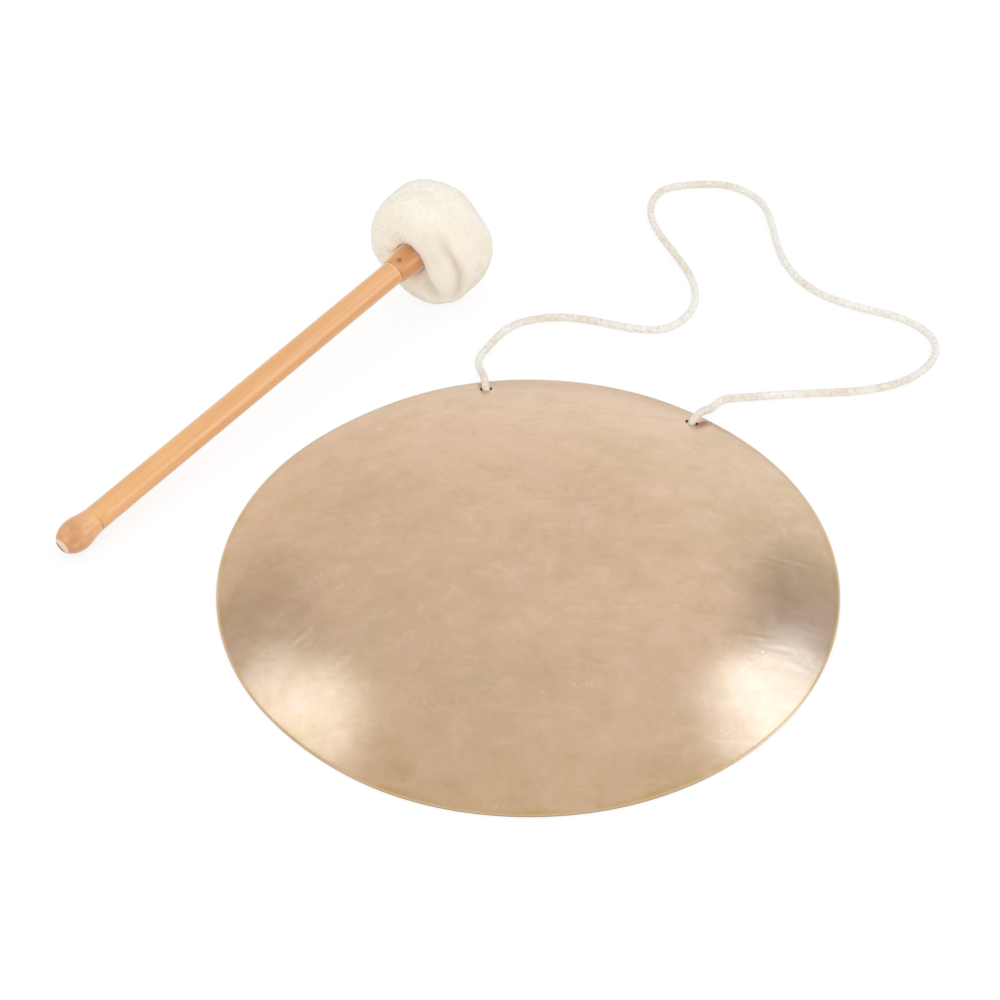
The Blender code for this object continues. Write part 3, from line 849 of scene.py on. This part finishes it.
def cord_end(side):
    """The cord's route at one hole, from the knot out to the surface beyond the rim."""
    hole = hole_frame(side).translation
    outward = Vector((hole.x, hole.y, 0)).normalized()

    def at(out, height):
        spot = hole + outward * out
        return spot.x, spot.y, height

    return [
        *[at(out, CORD_LYING) for out in CORD_FROM_KNOT],
        *[at(out, hole.z + up) for out, up in CORD_THROUGH_HOLE],
        at(CORD_TO_SURFACE, CORD_LYING),
    ]


def knot_line():
    """One overhand knot about the origin. Its leading end points to +X, and its tail lies beside it."""
    angles = np.linspace(KNOT_CUT, math.tau - KNOT_CUT, KNOT_POINTS)
    reach = KNOT_RING_RADIUS + KNOT_WIND_RADIUS * np.cos(3 * angles)
    height = -KNOT_WIND_RADIUS * np.sin(3 * angles)
    wound = np.stack([reach * np.cos(2 * angles), reach * np.sin(2 * angles), height], axis=1)
    aside = KNOT_STRAND / 2 + CLEARANCE
    level = CORD_LYING - KNOT_HEIGHT
    lead = [(KNOT_LEAD + CLEARANCE, aside, level), (KNOT_LEAD - KNOT_STRAND, aside, level)]
    tail = [(KNOT_TAIL, -aside, KNOT_WIND_RADIUS / 2)]
    line = smooth_curve(np.vstack([lead, wound, tail]), KNOT_FINE)
    line[:, 2] = line[:, 2].clip(-KNOT_WIND_RADIUS, KNOT_WIND_RADIUS)
    return line, aside


def cotton():
    paint = Paint("cotton_cord", Roughness=0.85, Sheen_Weight=0.3, Sheen_Roughness=0.6)
    where = paint.place()
    tone = paint.noise(where, 26, 3, 0.6)
    strand = paint.noise(where, 620, 2, 0.6)
    colour = paint.mix(paint.range(tone, 0.42, 0.58), (0.84, 0.75, 0.64), (0.90, 0.87, 0.79))
    colour = paint.tint(
        colour,
        (strand, (0.5, 0.66), 0.55, (0.74, 0.58, 0.43)),
        (strand, (0.5, 0.36), 0.5, (0.97, 0.93, 0.86)),
    )
    hollow = paint.range(paint.attribute("hollow"), 0.4, 0.95)
    # painted shade in the braid's hollows, uneven with the tone noise
    shade = paint.times(hollow, paint.range(tone, 0.62, 0.42, 0.35, 1.0))
    colour = paint.mix(shade, colour, (0.32, 0.21, 0.14))
    return paint.link(Base_Color=colour, Normal=paint.bump(paint.noise(where, 2600, 2, 0.7), 0.35, 0.0002))


def make_knot(word, end, after, finish):
    """The knot at an end of the cord, under the gong, with its lead in line with the cord."""
    points, aside = knot_line()
    heading = after - end
    turn = Matrix.Rotation(math.atan2(heading[1], heading[0]), 4, "Z")
    place = Vector(end) - turn.to_3x3() @ Vector((KNOT_LEAD + CLEARANCE, aside, 0))
    place.z = KNOT_HEIGHT
    points = moved(points, Matrix.Translation(place) @ turn)
    radii = [CORD_DIAMETER / 2] + [KNOT_STRAND / 2 + CLEARANCE] * KNOT_EVEN_STEPS
    name = f"knot_{word}_braid"
    mesh = braid_mesh(name, points, radii)
    return mesh_object(name, mesh, finish, "gong", [f"stopper_knot_{word}"])


def make_cord():
    loop = [(x, y, CORD_LYING) for x, y in CORD_LOOP]
    line = smooth_curve(cord_end(-1) + loop + cord_end(1)[::-1], CORD_FINE)
    line[:, 2] = np.maximum(line[:, 2], CORD_LYING)
    line += np.array(GONG_ON_FLOOR)
    finish = cotton()
    uneven = np.random.default_rng(CORD_SEED).uniform(*CORD_UNEVEN, CORD_UNEVEN_STEPS)
    mesh = braid_mesh("cord_loop_braid", line, BRAID_RADIUS * (1 + uneven))
    cord = mesh_object("cord_loop_braid", mesh, finish, "gong", ["cord_loop"])
    knots = [make_knot("left", line[0], line[1], finish), make_knot("right", line[-1], line[-2], finish)]


# Beater

KNOB_STEPS = 18
NECK_STEPS = 16
SHAFT_STEPS = 12
SWELL_STEPS = 20
FLARE_STEPS = 20
EDGE_STEPS = 6
TURNED_STEPS = 96
PIN_STEPS = 24
BUTT_EDGE = 0.0002
GROOVE_SLOPE = 0.0001
GROOVE_EDGE = 0.0003
GROOVE_DEEP_TURN = math.radians(-60)


def beater_axis():
    """The beater's frame: Z from the butt to the head, X downward."""
    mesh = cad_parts["mallet_handle"].data
    mesh.calc_loop_triangles()
    co = np.array([v.co for v in mesh.vertices], float)
    corners = co[[tuple(t.vertices) for t in mesh.loop_triangles]]
    area = np.array([t.area for t in mesh.loop_triangles])
    middle = (area[:, None] * corners.mean(axis=1)).sum(axis=0) / area.sum()
    arms = corners - middle
    sums = arms.sum(axis=1)
    moments = np.einsum("t,tij,tik->jk", area, arms, arms) + np.einsum("t,tj,tk->jk", area, sums, sums)
    axis = np.linalg.eigh(moments)[1][:, -1]
    if axis @ (np.array(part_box("head_cover")[0]) - middle) < 0:
        axis = -axis
    ahead = Vector(axis).normalized()
    butt = middle + axis * ((co - middle) @ axis).min()
    down = (Vector((0, 0, -1)) - ahead * -ahead.z).normalized()
    lie = Matrix((down, ahead.cross(down), ahead)).transposed().to_4x4()
    return Matrix.Translation(Vector(butt)) @ lie


def handle_profile():
    steep = math.sqrt(1 - (BUTT_FACET_RADIUS / KNOB_RADIUS) ** 2)
    points = [(0.0, 0.0), (BUTT_FACET_RADIUS - BUTT_EDGE, 0.0)]
    for share in shares(KNOB_STEPS):
        at = KNOB_FAT_AT * (1 - math.cos(math.pi / 2 * share))
        points.append((KNOB_RADIUS * math.sqrt(1 - (steep * (1 - at / KNOB_FAT_AT)) ** 2), at))
    for share in shares(NECK_STEPS):
        ease = (1 + math.cos(math.pi * share)) / 2
        at = KNOB_FAT_AT + (KNOB_LENGTH - KNOB_FAT_AT) * share
        points.append((KNOB_NECK_RADIUS + (KNOB_RADIUS - KNOB_NECK_RADIUS) * ease, at))
    groove = SHAFT_RADIUS - GROOVE_DEPTH
    points += [(groove, KNOB_LENGTH + GROOVE_SLOPE), (groove, GROOVE_END - GROOVE_SLOPE)]
    points += [(SHAFT_RADIUS - GROOVE_SLOPE, GROOVE_END), (SHAFT_RADIUS, GROOVE_END + GROOVE_EDGE)]
    swell = COLLAR_START - SHAFT_SWELL_LENGTH
    points += [(SHAFT_RADIUS, GROOVE_END + (swell - GROOVE_END) * share) for share in shares(SHAFT_STEPS)]
    end = COLLAR_START - JOINT_GAP
    for share in shares(SWELL_STEPS):
        at = swell + (end - SHAFT_CHAMFER - swell) * share
        points.append((SHAFT_RADIUS + (SHAFT_TOP_RADIUS - SHAFT_RADIUS) * share, at))
    points.append((SHAFT_TOP_RADIUS - SHAFT_CHAMFER, end))
    tip = HEAD_BACK + TENON_IN_HEAD
    return points + [(TENON_RADIUS, end), (TENON_RADIUS, tip), (0.0, tip)]


def handle_mesh():
    """The groove is deep on one side of the handle and runs out on the other."""
    mesh = turned_mesh("handle", handle_profile(), TURNED_STEPS)
    for vert in mesh.vertices:
        if KNOB_LENGTH < vert.co.z < GROOVE_END:
            turn = math.atan2(vert.co.y, vert.co.x)
            share = (0.5 + 0.5 * math.cos(turn - GROOVE_DEEP_TURN)) ** 2
            vert.co.xy = vert.co.xy.normalized() * (SHAFT_RADIUS - GROOVE_DEPTH * share)
    return mesh


def collar_radius_at(beyond):
    share = min(1.0, beyond / COLLAR_FLARE_LENGTH)
    return COLLAR_RING_RADIUS + (COLLAR_RADIUS - COLLAR_RING_RADIUS) * math.sin(math.pi / 2 * share)


def collar_profile():
    bore_radius = TENON_RADIUS + CLEARANCE
    points = [(bore_radius, COLLAR_START), (COLLAR_RING_RADIUS - COLLAR_EDGE, COLLAR_START)]
    for share in shares(EDGE_STEPS)[:-1]:
        turn = math.pi / 2 * share
        radius = COLLAR_RING_RADIUS - COLLAR_EDGE * (1 - math.sin(turn))
        points.append((radius, COLLAR_START + COLLAR_EDGE * (1 - math.cos(turn))))
    for share in (0, *shares(FLARE_STEPS)):
        beyond = COLLAR_EDGE + (COLLAR_FLARE_LENGTH - COLLAR_EDGE) * share
        points.append((collar_radius_at(beyond), COLLAR_START + beyond))
    end = HEAD_BACK + COLLAR_IN_HEAD
    return points + [(COLLAR_RADIUS, end), (bore_radius, end)]


def pin_profile():
    """From the pin's inner end out to its domed head, as distances from the beater's axis."""
    inner = TENON_RADIUS - PIN_DEPTH_IN_TENON
    outer = collar_radius_at(PIN_AT) + PIN_PROUD
    points = [(0.0, inner), (PIN_RADIUS, inner), (PIN_RADIUS, outer - PIN_RADIUS / 2)]
    for share in shares(EDGE_STEPS):
        turn = math.pi / 2 * share
        points.append((PIN_RADIUS * math.cos(turn), outer - PIN_RADIUS / 2 * (1 - math.sin(turn))))
    points[-1] = (0.0, outer)
    return points


# Finish of the wood. Limits are places along the beater, or distances from its axis or the pin
KNOB_DARKENING = (0.019, 0.003)
BUTT_CUT = (0.0005, 0.0002)
SHAFT_END_HIGHLIGHT = (COLLAR_START - 0.0011, COLLAR_START - 0.0007)
GROOVE_STARTS = (KNOB_LENGTH - 0.0002, KNOB_LENGTH)
GROOVE_ENDS = (GROOVE_END + 0.0001, GROOVE_END - 0.0001)
GROOVE_SHADE_DEPTHS = (0.0003, 0.0006)
CONTACT_SHADOW_TURN = math.radians(41)
CONTACT_SHADOW_ALONG = (0.0016, 0.0008)
CONTACT_SHADOW_OUT = (0.0009, 0.0016)
COLLAR_DARKENING = (COLLAR_START + 0.004, COLLAR_START + HEAD_SHOWN_COLLAR - 0.003)
COLLAR_JOINT = (COLLAR_START + 0.0005, COLLAR_START + 0.0001)
NECK_SHADE = (HEAD_BACK + 0.0025, HEAD_BACK + 0.0045)
PIN_STAIN = (0.0024, 0.0009)


def wood(name, light, dark, axis, contrast):
    """Turned and lacquered wood, with its grain along the beater."""
    paint = Paint(name, Roughness=0.42, Coat_Weight=0.8, Coat_Roughness=0.17)
    line = paint.noise(paint.place(axis, 30), 900, 3, 0.6, 0.2)
    band = paint.noise(paint.place(axis, 22), 190, 3, 0.5, 0.4)
    cloud = paint.noise(paint.place(axis, 3), 55, 3, 0.5)
    colour = paint.tint(
        paint.mix(paint.range(band, 0.3, 0.7), light, dark),
        (cloud, (0.35, 0.7), 0.4 * contrast, dark),
        (line, (0.5, 0.75), 0.35 * contrast, dark),
    )
    paint.link(Normal=paint.bump(line, 0.10, 0.0002))
    return paint, colour


def pine(axis):
    """Pale wood, darker at the knob, a paler butt end, painted highlight at the shaft's end, painted groove
    shade, painted contact shadow under the butt.
    """
    paint, colour = wood("pine", (0.84, 0.45, 0.17), (0.74, 0.355, 0.12), axis, 1.0)
    where = paint.place(axis)
    x, y, along = paint.split(where)
    blotched = paint.range(paint.noise(where, 130, 3, 0.6), 0.35, 0.6, 0.4, 1.0)
    darker_knob = paint.times(paint.range(along, *KNOB_DARKENING), blotched)
    # paler: the butt's end grain, and a painted highlight at the shaft's end
    cut = paint.maths("MAXIMUM", paint.range(along, *BUTT_CUT), paint.range(along, *SHAFT_END_HIGHLIGHT))
    # painted shade in the groove, darkest where it is sunk deepest
    between = paint.times(paint.range(along, *GROOVE_STARTS), paint.range(along, *GROOVE_ENDS))
    sunk = paint.maths("SUBTRACT", SHAFT_RADIUS, paint.radius(where))
    groove = paint.times(between, paint.range(sunk, *GROOVE_SHADE_DEPTHS))
    # painted contact shadow on the butt's lowest edge, next to the floor
    low = paint.maths("ADD", paint.times(x, math.cos(CONTACT_SHADOW_TURN)), paint.times(y, math.sin(CONTACT_SHADOW_TURN)))
    contact_shadow = paint.times(paint.range(along, *CONTACT_SHADOW_ALONG), paint.range(low, *CONTACT_SHADOW_OUT))
    for mark, share, tone in (
        (darker_knob, 0.95, (0.54, 0.24, 0.11)),
        (cut, 0.7, (0.93, 0.64, 0.43)),
        (groove, 0.6, (0.20, 0.075, 0.02)),
        (contact_shadow, 0.95, (0.06, 0.03, 0.02)),
    ):
        colour = paint.mix(paint.times(mark, share), colour, tone)
    return paint.link(Base_Color=colour)


def stained_pine(axis):
    """Darker wood, darker towards the head, dark at the joint and round the pin, with painted shade at the
    cover's neck.
    """
    paint, colour = wood("stained_pine", (0.93, 0.52, 0.19), (0.62, 0.25, 0.06), axis, 2.0)
    along = paint.split(paint.place(axis))["Z"]
    pin_at = Vector((math.cos(PIN_TURN), math.sin(PIN_TURN), 0)) * COLLAR_RING_RADIUS
    pin_at.z = COLLAR_START + PIN_AT - PIN_RADIUS
    from_pin = paint.length(paint.place(axis @ Matrix.Translation(pin_at)))
    colour = paint.tint(
        colour,
        (along, COLLAR_DARKENING, 0.65, (0.56, 0.215, 0.055)),
        (along, COLLAR_JOINT, 0.5, (0.42, 0.16, 0.06)),
        (along, NECK_SHADE, 0.7, (0.20, 0.06, 0.02)),
        (from_pin, PIN_STAIN, 0.75, (0.36, 0.12, 0.035)),
    )
    return paint.link(Base_Color=colour)


def pin_metal():
    paint = Paint("pin_steel", Metallic=0.4)
    rust = paint.noise(paint.place(), 900, 3, 0.6)
    colour = paint.mix(paint.range(rust, 0.35, 0.65), (0.40, 0.17, 0.07), (0.28, 0.12, 0.05))
    return paint.link(Base_Color=colour, Roughness=paint.range(rust, 0.3, 0.7, 0.4, 0.65))


def beater_piece(name, mesh, material, nodes, lie):
    mesh.transform(lie)
    return mesh_object(name, mesh, material, "mallet", nodes)


# Fleece head. Its folds are along the axis from the head's middle, radius and turn in degrees, then depth
HEAD_INFLATION = 0.0009
OUTLINE_FINE = 4000
POLE_RADIUS = 0.0002
HEAD_RINGS = 112
HEAD_AROUND = 200
HEAD_INSIDE_RINGS = 12
MAIN_FOLD = (
    (-0.0140, 0.0309, -142, 0.0002),
    (-0.0146, 0.0304, -129, 0.0010),
    (-0.0150, 0.0298, -118, 0.0019),
    (-0.0140, 0.0308, -106, 0.0025),
    (-0.0128, 0.0318, -89, 0.0027),
    (-0.0125, 0.0320, -69, 0.0024),
    (-0.0115, 0.0324, -50, 0.0012),
)
COLLAR_FOLD = (
    (-0.0175, 0.0120, -66, 0.0016),
    (-0.0197, 0.0180, -48, 0.0034),
    (-0.0180, 0.0250, -39, 0.0026),
    (-0.0150, 0.0296, -35, 0.0004),
)
# Each fold's half width, and the height of its lips, which lie a few half widths from its bed
HEAD_FOLDS = ((MAIN_FOLD, 0.0023, 0.0006), (COLLAR_FOLD, 0.0045, 0.0003))
LIP_AWAY = 2.2
# The fold depth at which the painted shade in a fold is full
FOLD_FULL_SHADE = 0.0025
# Lumps: size, seed and height
HEAD_LUMPS = ((0.022, 5.0, 0.0008), (0.009, 11.0, 0.0002))
# Fuller and flatter places: where, as for the folds, then width and how far they stand out
HEAD_PETALS = (
    ((-0.0187, 0.0223, -86), 0.0085, 0.0014),
    ((-0.0150, 0.0250, -20), 0.0090, 0.0008),
    ((-0.0178, 0.0118, 120), 0.0055, 0.0034),
    ((-0.0155, 0.0285, 75), 0.0100, 0.0018),
    ((-0.0020, 0.0344, 122), 0.0120, -0.0018),
    ((0.0165, 0.0300, -158), 0.0100, 0.0018),
    ((0.0120, 0.0335, -98), 0.0120, 0.0016),
    ((0.0050, 0.0344, -84), 0.0070, 0.0009),
    ((-0.0020, 0.0344, -66), 0.0070, -0.0012),
)
# The neck, and its gathers, which wander by a noise of this size, sway and seed
NECK_HOLD = 0.0025
NECK_TURN_IN = 0.001
GATHERS = 11
GATHER_DEPTH = 0.0003
GATHER_SHARPNESS = 1.5
GATHER_CLEAR = 0.0008
GATHER_REACH = 0.026
GATHER_FADE = 0.014
GATHER_WANDER = (1.3, 2.5, 2.0)
# Fibres, with their tilt in degrees and the bare rings next to the neck
PILE_SEED = 8
PILE_COUNT = 20000
PILE_TILT = (15, 68)
PILE_ROOT = 0.0002
PILE_BARE_RINGS = 4
PILE_LENGTH = (0.0014, 0.0030)
PILE_WIDTH = 0.0001


def dimple(radius):
    share = np.maximum(0.0, DIMPLE_RADIUS - radius) / (DIMPLE_RADIUS - COLLAR_RADIUS)
    return DIMPLE_DEPTH * share**2


def head_outline(count):
    """Evenly spaced radii and places along, from the front pole back to the neck."""
    power = 2 / HEAD_SQUARENESS
    last = math.pi - math.asin((NECK_RADIUS / HEAD_RADIUS) ** (1 / power))
    angle = np.linspace(0, last, OUTLINE_FINE)
    radius = HEAD_RADIUS * np.sin(angle).clip(0) ** power
    along = np.sign(np.cos(angle)) * HEAD_THICKNESS / 2 * np.abs(np.cos(angle)) ** power
    along += np.where(angle > math.pi / 2, dimple(radius), 0.0)
    return spread(np.stack([radius, along], axis=1), count).T


def head_spot(along, radius, turn):
    angle = math.radians(turn)
    return np.array([radius * math.cos(angle), radius * math.sin(angle), along])


def fold_shape(points, fold, width, lip):
    """How far a fold draws the surface in, with a low lip on both sides, and how deep in it a point lies,
    which sets its painted shade.
    """
    spots = np.array([head_spot(*row[:3]) for row in fold])
    depths = np.array([row[3] for row in fold])
    best = np.full(points.shape[:-1], 1.0)
    deep = np.zeros(points.shape[:-1])
    for start, end, near, far in zip(spots, spots[1:], depths, depths[1:]):
        leg = end - start
        share = ((points - start) @ leg / (leg @ leg)).clip(0, 1)
        gap = np.linalg.norm(points - start - share[..., None] * leg, axis=-1)
        closer = gap < best
        best = np.where(closer, gap, best)
        deep = np.where(closer, near + (far - near) * share, deep)
    bed = np.exp(-(best / width) ** 2)
    lips = np.exp(-((best - LIP_AWAY * width) / width) ** 2)
    return deep * bed - lip * lips * deep / depths.max(), bed * deep / FOLD_FULL_SHADE


def neck_gathers(radius, turns):
    """How far the small gathers at the neck draw the surface in."""
    size, sway, seed = GATHER_WANDER
    spots = np.stack([np.cos(turns) * size, np.sin(turns) * size, np.full_like(turns, seed)], axis=1)
    ridges = np.abs(np.sin(GATHERS / 2 * turns + sway * noise_at(spots)))
    near = smooth_share((GATHER_REACH - radius) / GATHER_FADE) * (radius > NECK_RADIUS + GATHER_CLEAR)
    return GATHER_DEPTH * near * (1 - ridges) ** GATHER_SHARPNESS


def head_surface(turns):
    """The cover's outside, with its lumps, folds, fuller places and gathers, and how deep each point lies."""
    radius, along = head_outline(HEAD_RINGS)
    radius[0] = POLE_RADIUS
    lie = unit(np.stack([np.gradient(radius), np.gradient(along)], axis=1))
    radius, along = radius[:, None], along[:, None]
    base = ring_points(radius, along, turns)
    square = ring_points(-lie[:, 1:], lie[:, :1], turns)
    push = np.full(base.shape[:2], HEAD_INFLATION)
    for size, seed, tall in HEAD_LUMPS:
        push += noise_at(base / size + (seed, 0, 0)) * tall
    fold = np.zeros(base.shape[:2])
    for route, width, lip in HEAD_FOLDS:
        drawn, depth = fold_shape(base, route, width, lip)
        push -= drawn
        fold = np.maximum(fold, depth)
    for place, width, tall in HEAD_PETALS:
        gap = np.linalg.norm(base - head_spot(*place), axis=2)
        push += tall * np.exp(-(gap / width) ** 2)
    held = smooth_share((radius - NECK_RADIUS) / NECK_HOLD)
    push = np.where(along < 0, (push - neck_gathers(radius, turns)) * held, push)
    return base + square * push[..., None], fold.clip(0, 1)


def head_mesh(axis):
    """The cover's outside and, through the neck, its inside, as one closed skin."""
    turns = full_turn(HEAD_AROUND)
    outside, fold = head_surface(turns)
    shrink = 1 - COVER_THICKNESS / HEAD_RADIUS
    radius, along = head_outline(HEAD_INSIDE_RINGS) * shrink
    radius = np.maximum(radius, POLE_RADIUS)
    radius[-1] = NECK_RADIUS
    along[-1] = outside[-1, :, 2].mean() + NECK_TURN_IN
    inside = ring_points(radius[:, None], along[:, None], turns)[::-1]
    points = moved(np.concatenate([outside, inside]) + (0, 0, HEAD_MIDDLE), axis)
    points[..., 2] = np.maximum(points[..., 2], FLOOR_GAP)
    return grid_mesh("fleece_head", points, fold=np.concatenate([fold, np.zeros(inside.shape[:2])]))


def pile_mesh(name, mesh, shown_faces):
    """Short tapered fibres that stand out of the first faces of a mesh."""
    rng = np.random.default_rng(PILE_SEED)
    area = np.array([face.area for face in mesh.polygons[:shown_faces]])
    picked = rng.choice(shown_faces, PILE_COUNT, p=area / area.sum())
    places = []
    for index in picked:
        face = mesh.polygons[int(index)]
        corners = [mesh.vertices[i].co for i in face.vertices[:4]]
        a, b = rng.uniform(0, 1, 2)
        low = corners[0].lerp(corners[1], a)
        high = corners[3].lerp(corners[2], a)
        places.append((*low.lerp(high, b), *face.normal))
    places = np.array(places)
    spot, out = places[:, :3], places[:, 3:]
    aside = unit(np.cross(out, rng.normal(size=out.shape)))
    tilt = np.radians(rng.uniform(*PILE_TILT, PILE_COUNT))[:, None]
    lean = out * np.cos(tilt) + aside * np.sin(tilt)
    length = rng.uniform(*PILE_LENGTH, PILE_COUNT)[:, None]
    across = unit(np.cross(lean, out + 1e-6))
    third = np.cross(lean, across)
    root = spot - out * PILE_ROOT
    verts = np.empty((PILE_COUNT, 4, 3))
    for corner in range(3):
        turn = math.tau * corner / 3
        verts[:, corner] = root + PILE_WIDTH * (across * math.cos(turn) + third * math.sin(turn))
    verts[:, 3] = spot + lean * length
    verts[..., 2] = np.maximum(verts[..., 2], FLOOR_GAP)
    starts = (np.arange(PILE_COUNT) * 4)[:, None, None]
    faces = starts + np.array([(0, 1, 3), (1, 2, 3), (2, 0, 3), (2, 1, 0)])
    return smooth_mesh(name, verts, faces.reshape(-1, 3).tolist())


def fleece():
    paint = Paint("fleece", Roughness=0.95, Sheen_Weight=0.4, Sheen_Roughness=0.7)
    where = paint.place()
    tone = paint.noise(where, 60, 4, 0.6)
    colour = paint.mix(paint.range(tone, 0.3, 0.7), (0.94, 0.855, 0.70), (0.975, 0.915, 0.79))
    # painted shade in the folds
    colour = paint.mix(paint.times(paint.attribute("fold"), 0.7), colour, (0.70, 0.60, 0.47))
    return paint.link(Base_Color=colour, Normal=paint.bump(paint.noise(where, 900, 3, 0.7), 0.45, 0.0006))


def make_head(axis):
    finish = fleece()
    mesh = head_mesh(axis)
    nodes = ["head_cover", "head_padding", "head_core", "cover_thread"]
    head = mesh_object("fleece_head", mesh, finish, "mallet", nodes)
    pile = pile_mesh("fleece_pile", mesh, (HEAD_RINGS - PILE_BARE_RINGS) * HEAD_AROUND)
    mesh_object("fleece_pile", pile, finish, "mallet", [])


def make_collar(axis, pin_place):
    mesh = turned_mesh("collar", collar_profile(), TURNED_STEPS)
    collar = beater_piece("collar", mesh, stained_pine(axis), ["mallet_collar"], axis)
    outward = Matrix.Translation((0, 0, COLLAR_RADIUS))
    bore(collar, pin_place @ outward, PIN_RADIUS + CLEARANCE / 2, 2 * (COLLAR_RADIUS - TENON_RADIUS))
    collar.data.set_sharp_from_angle(angle=SHARP_ANGLE)


def make_beater():
    axis = beater_axis()
    along = Matrix.Translation((0, 0, COLLAR_START + PIN_AT))
    pin_place = axis @ along @ Matrix.Rotation(PIN_TURN, 4, "Z") @ Z_TO_X
    beater_piece("handle", handle_mesh(), pine(axis), ["mallet_handle"], axis)
    make_collar(axis, pin_place)
    pin = turned_mesh("pin", pin_profile(), PIN_STEPS)
    beater_piece("pin", pin, pin_metal(), ["collar_pin"], pin_place)
    make_head(axis)


bpy.context.scene.view_settings.view_transform = "Standard"
make_camera()
make_cord()
make_studio()
make_gong()
make_beater()
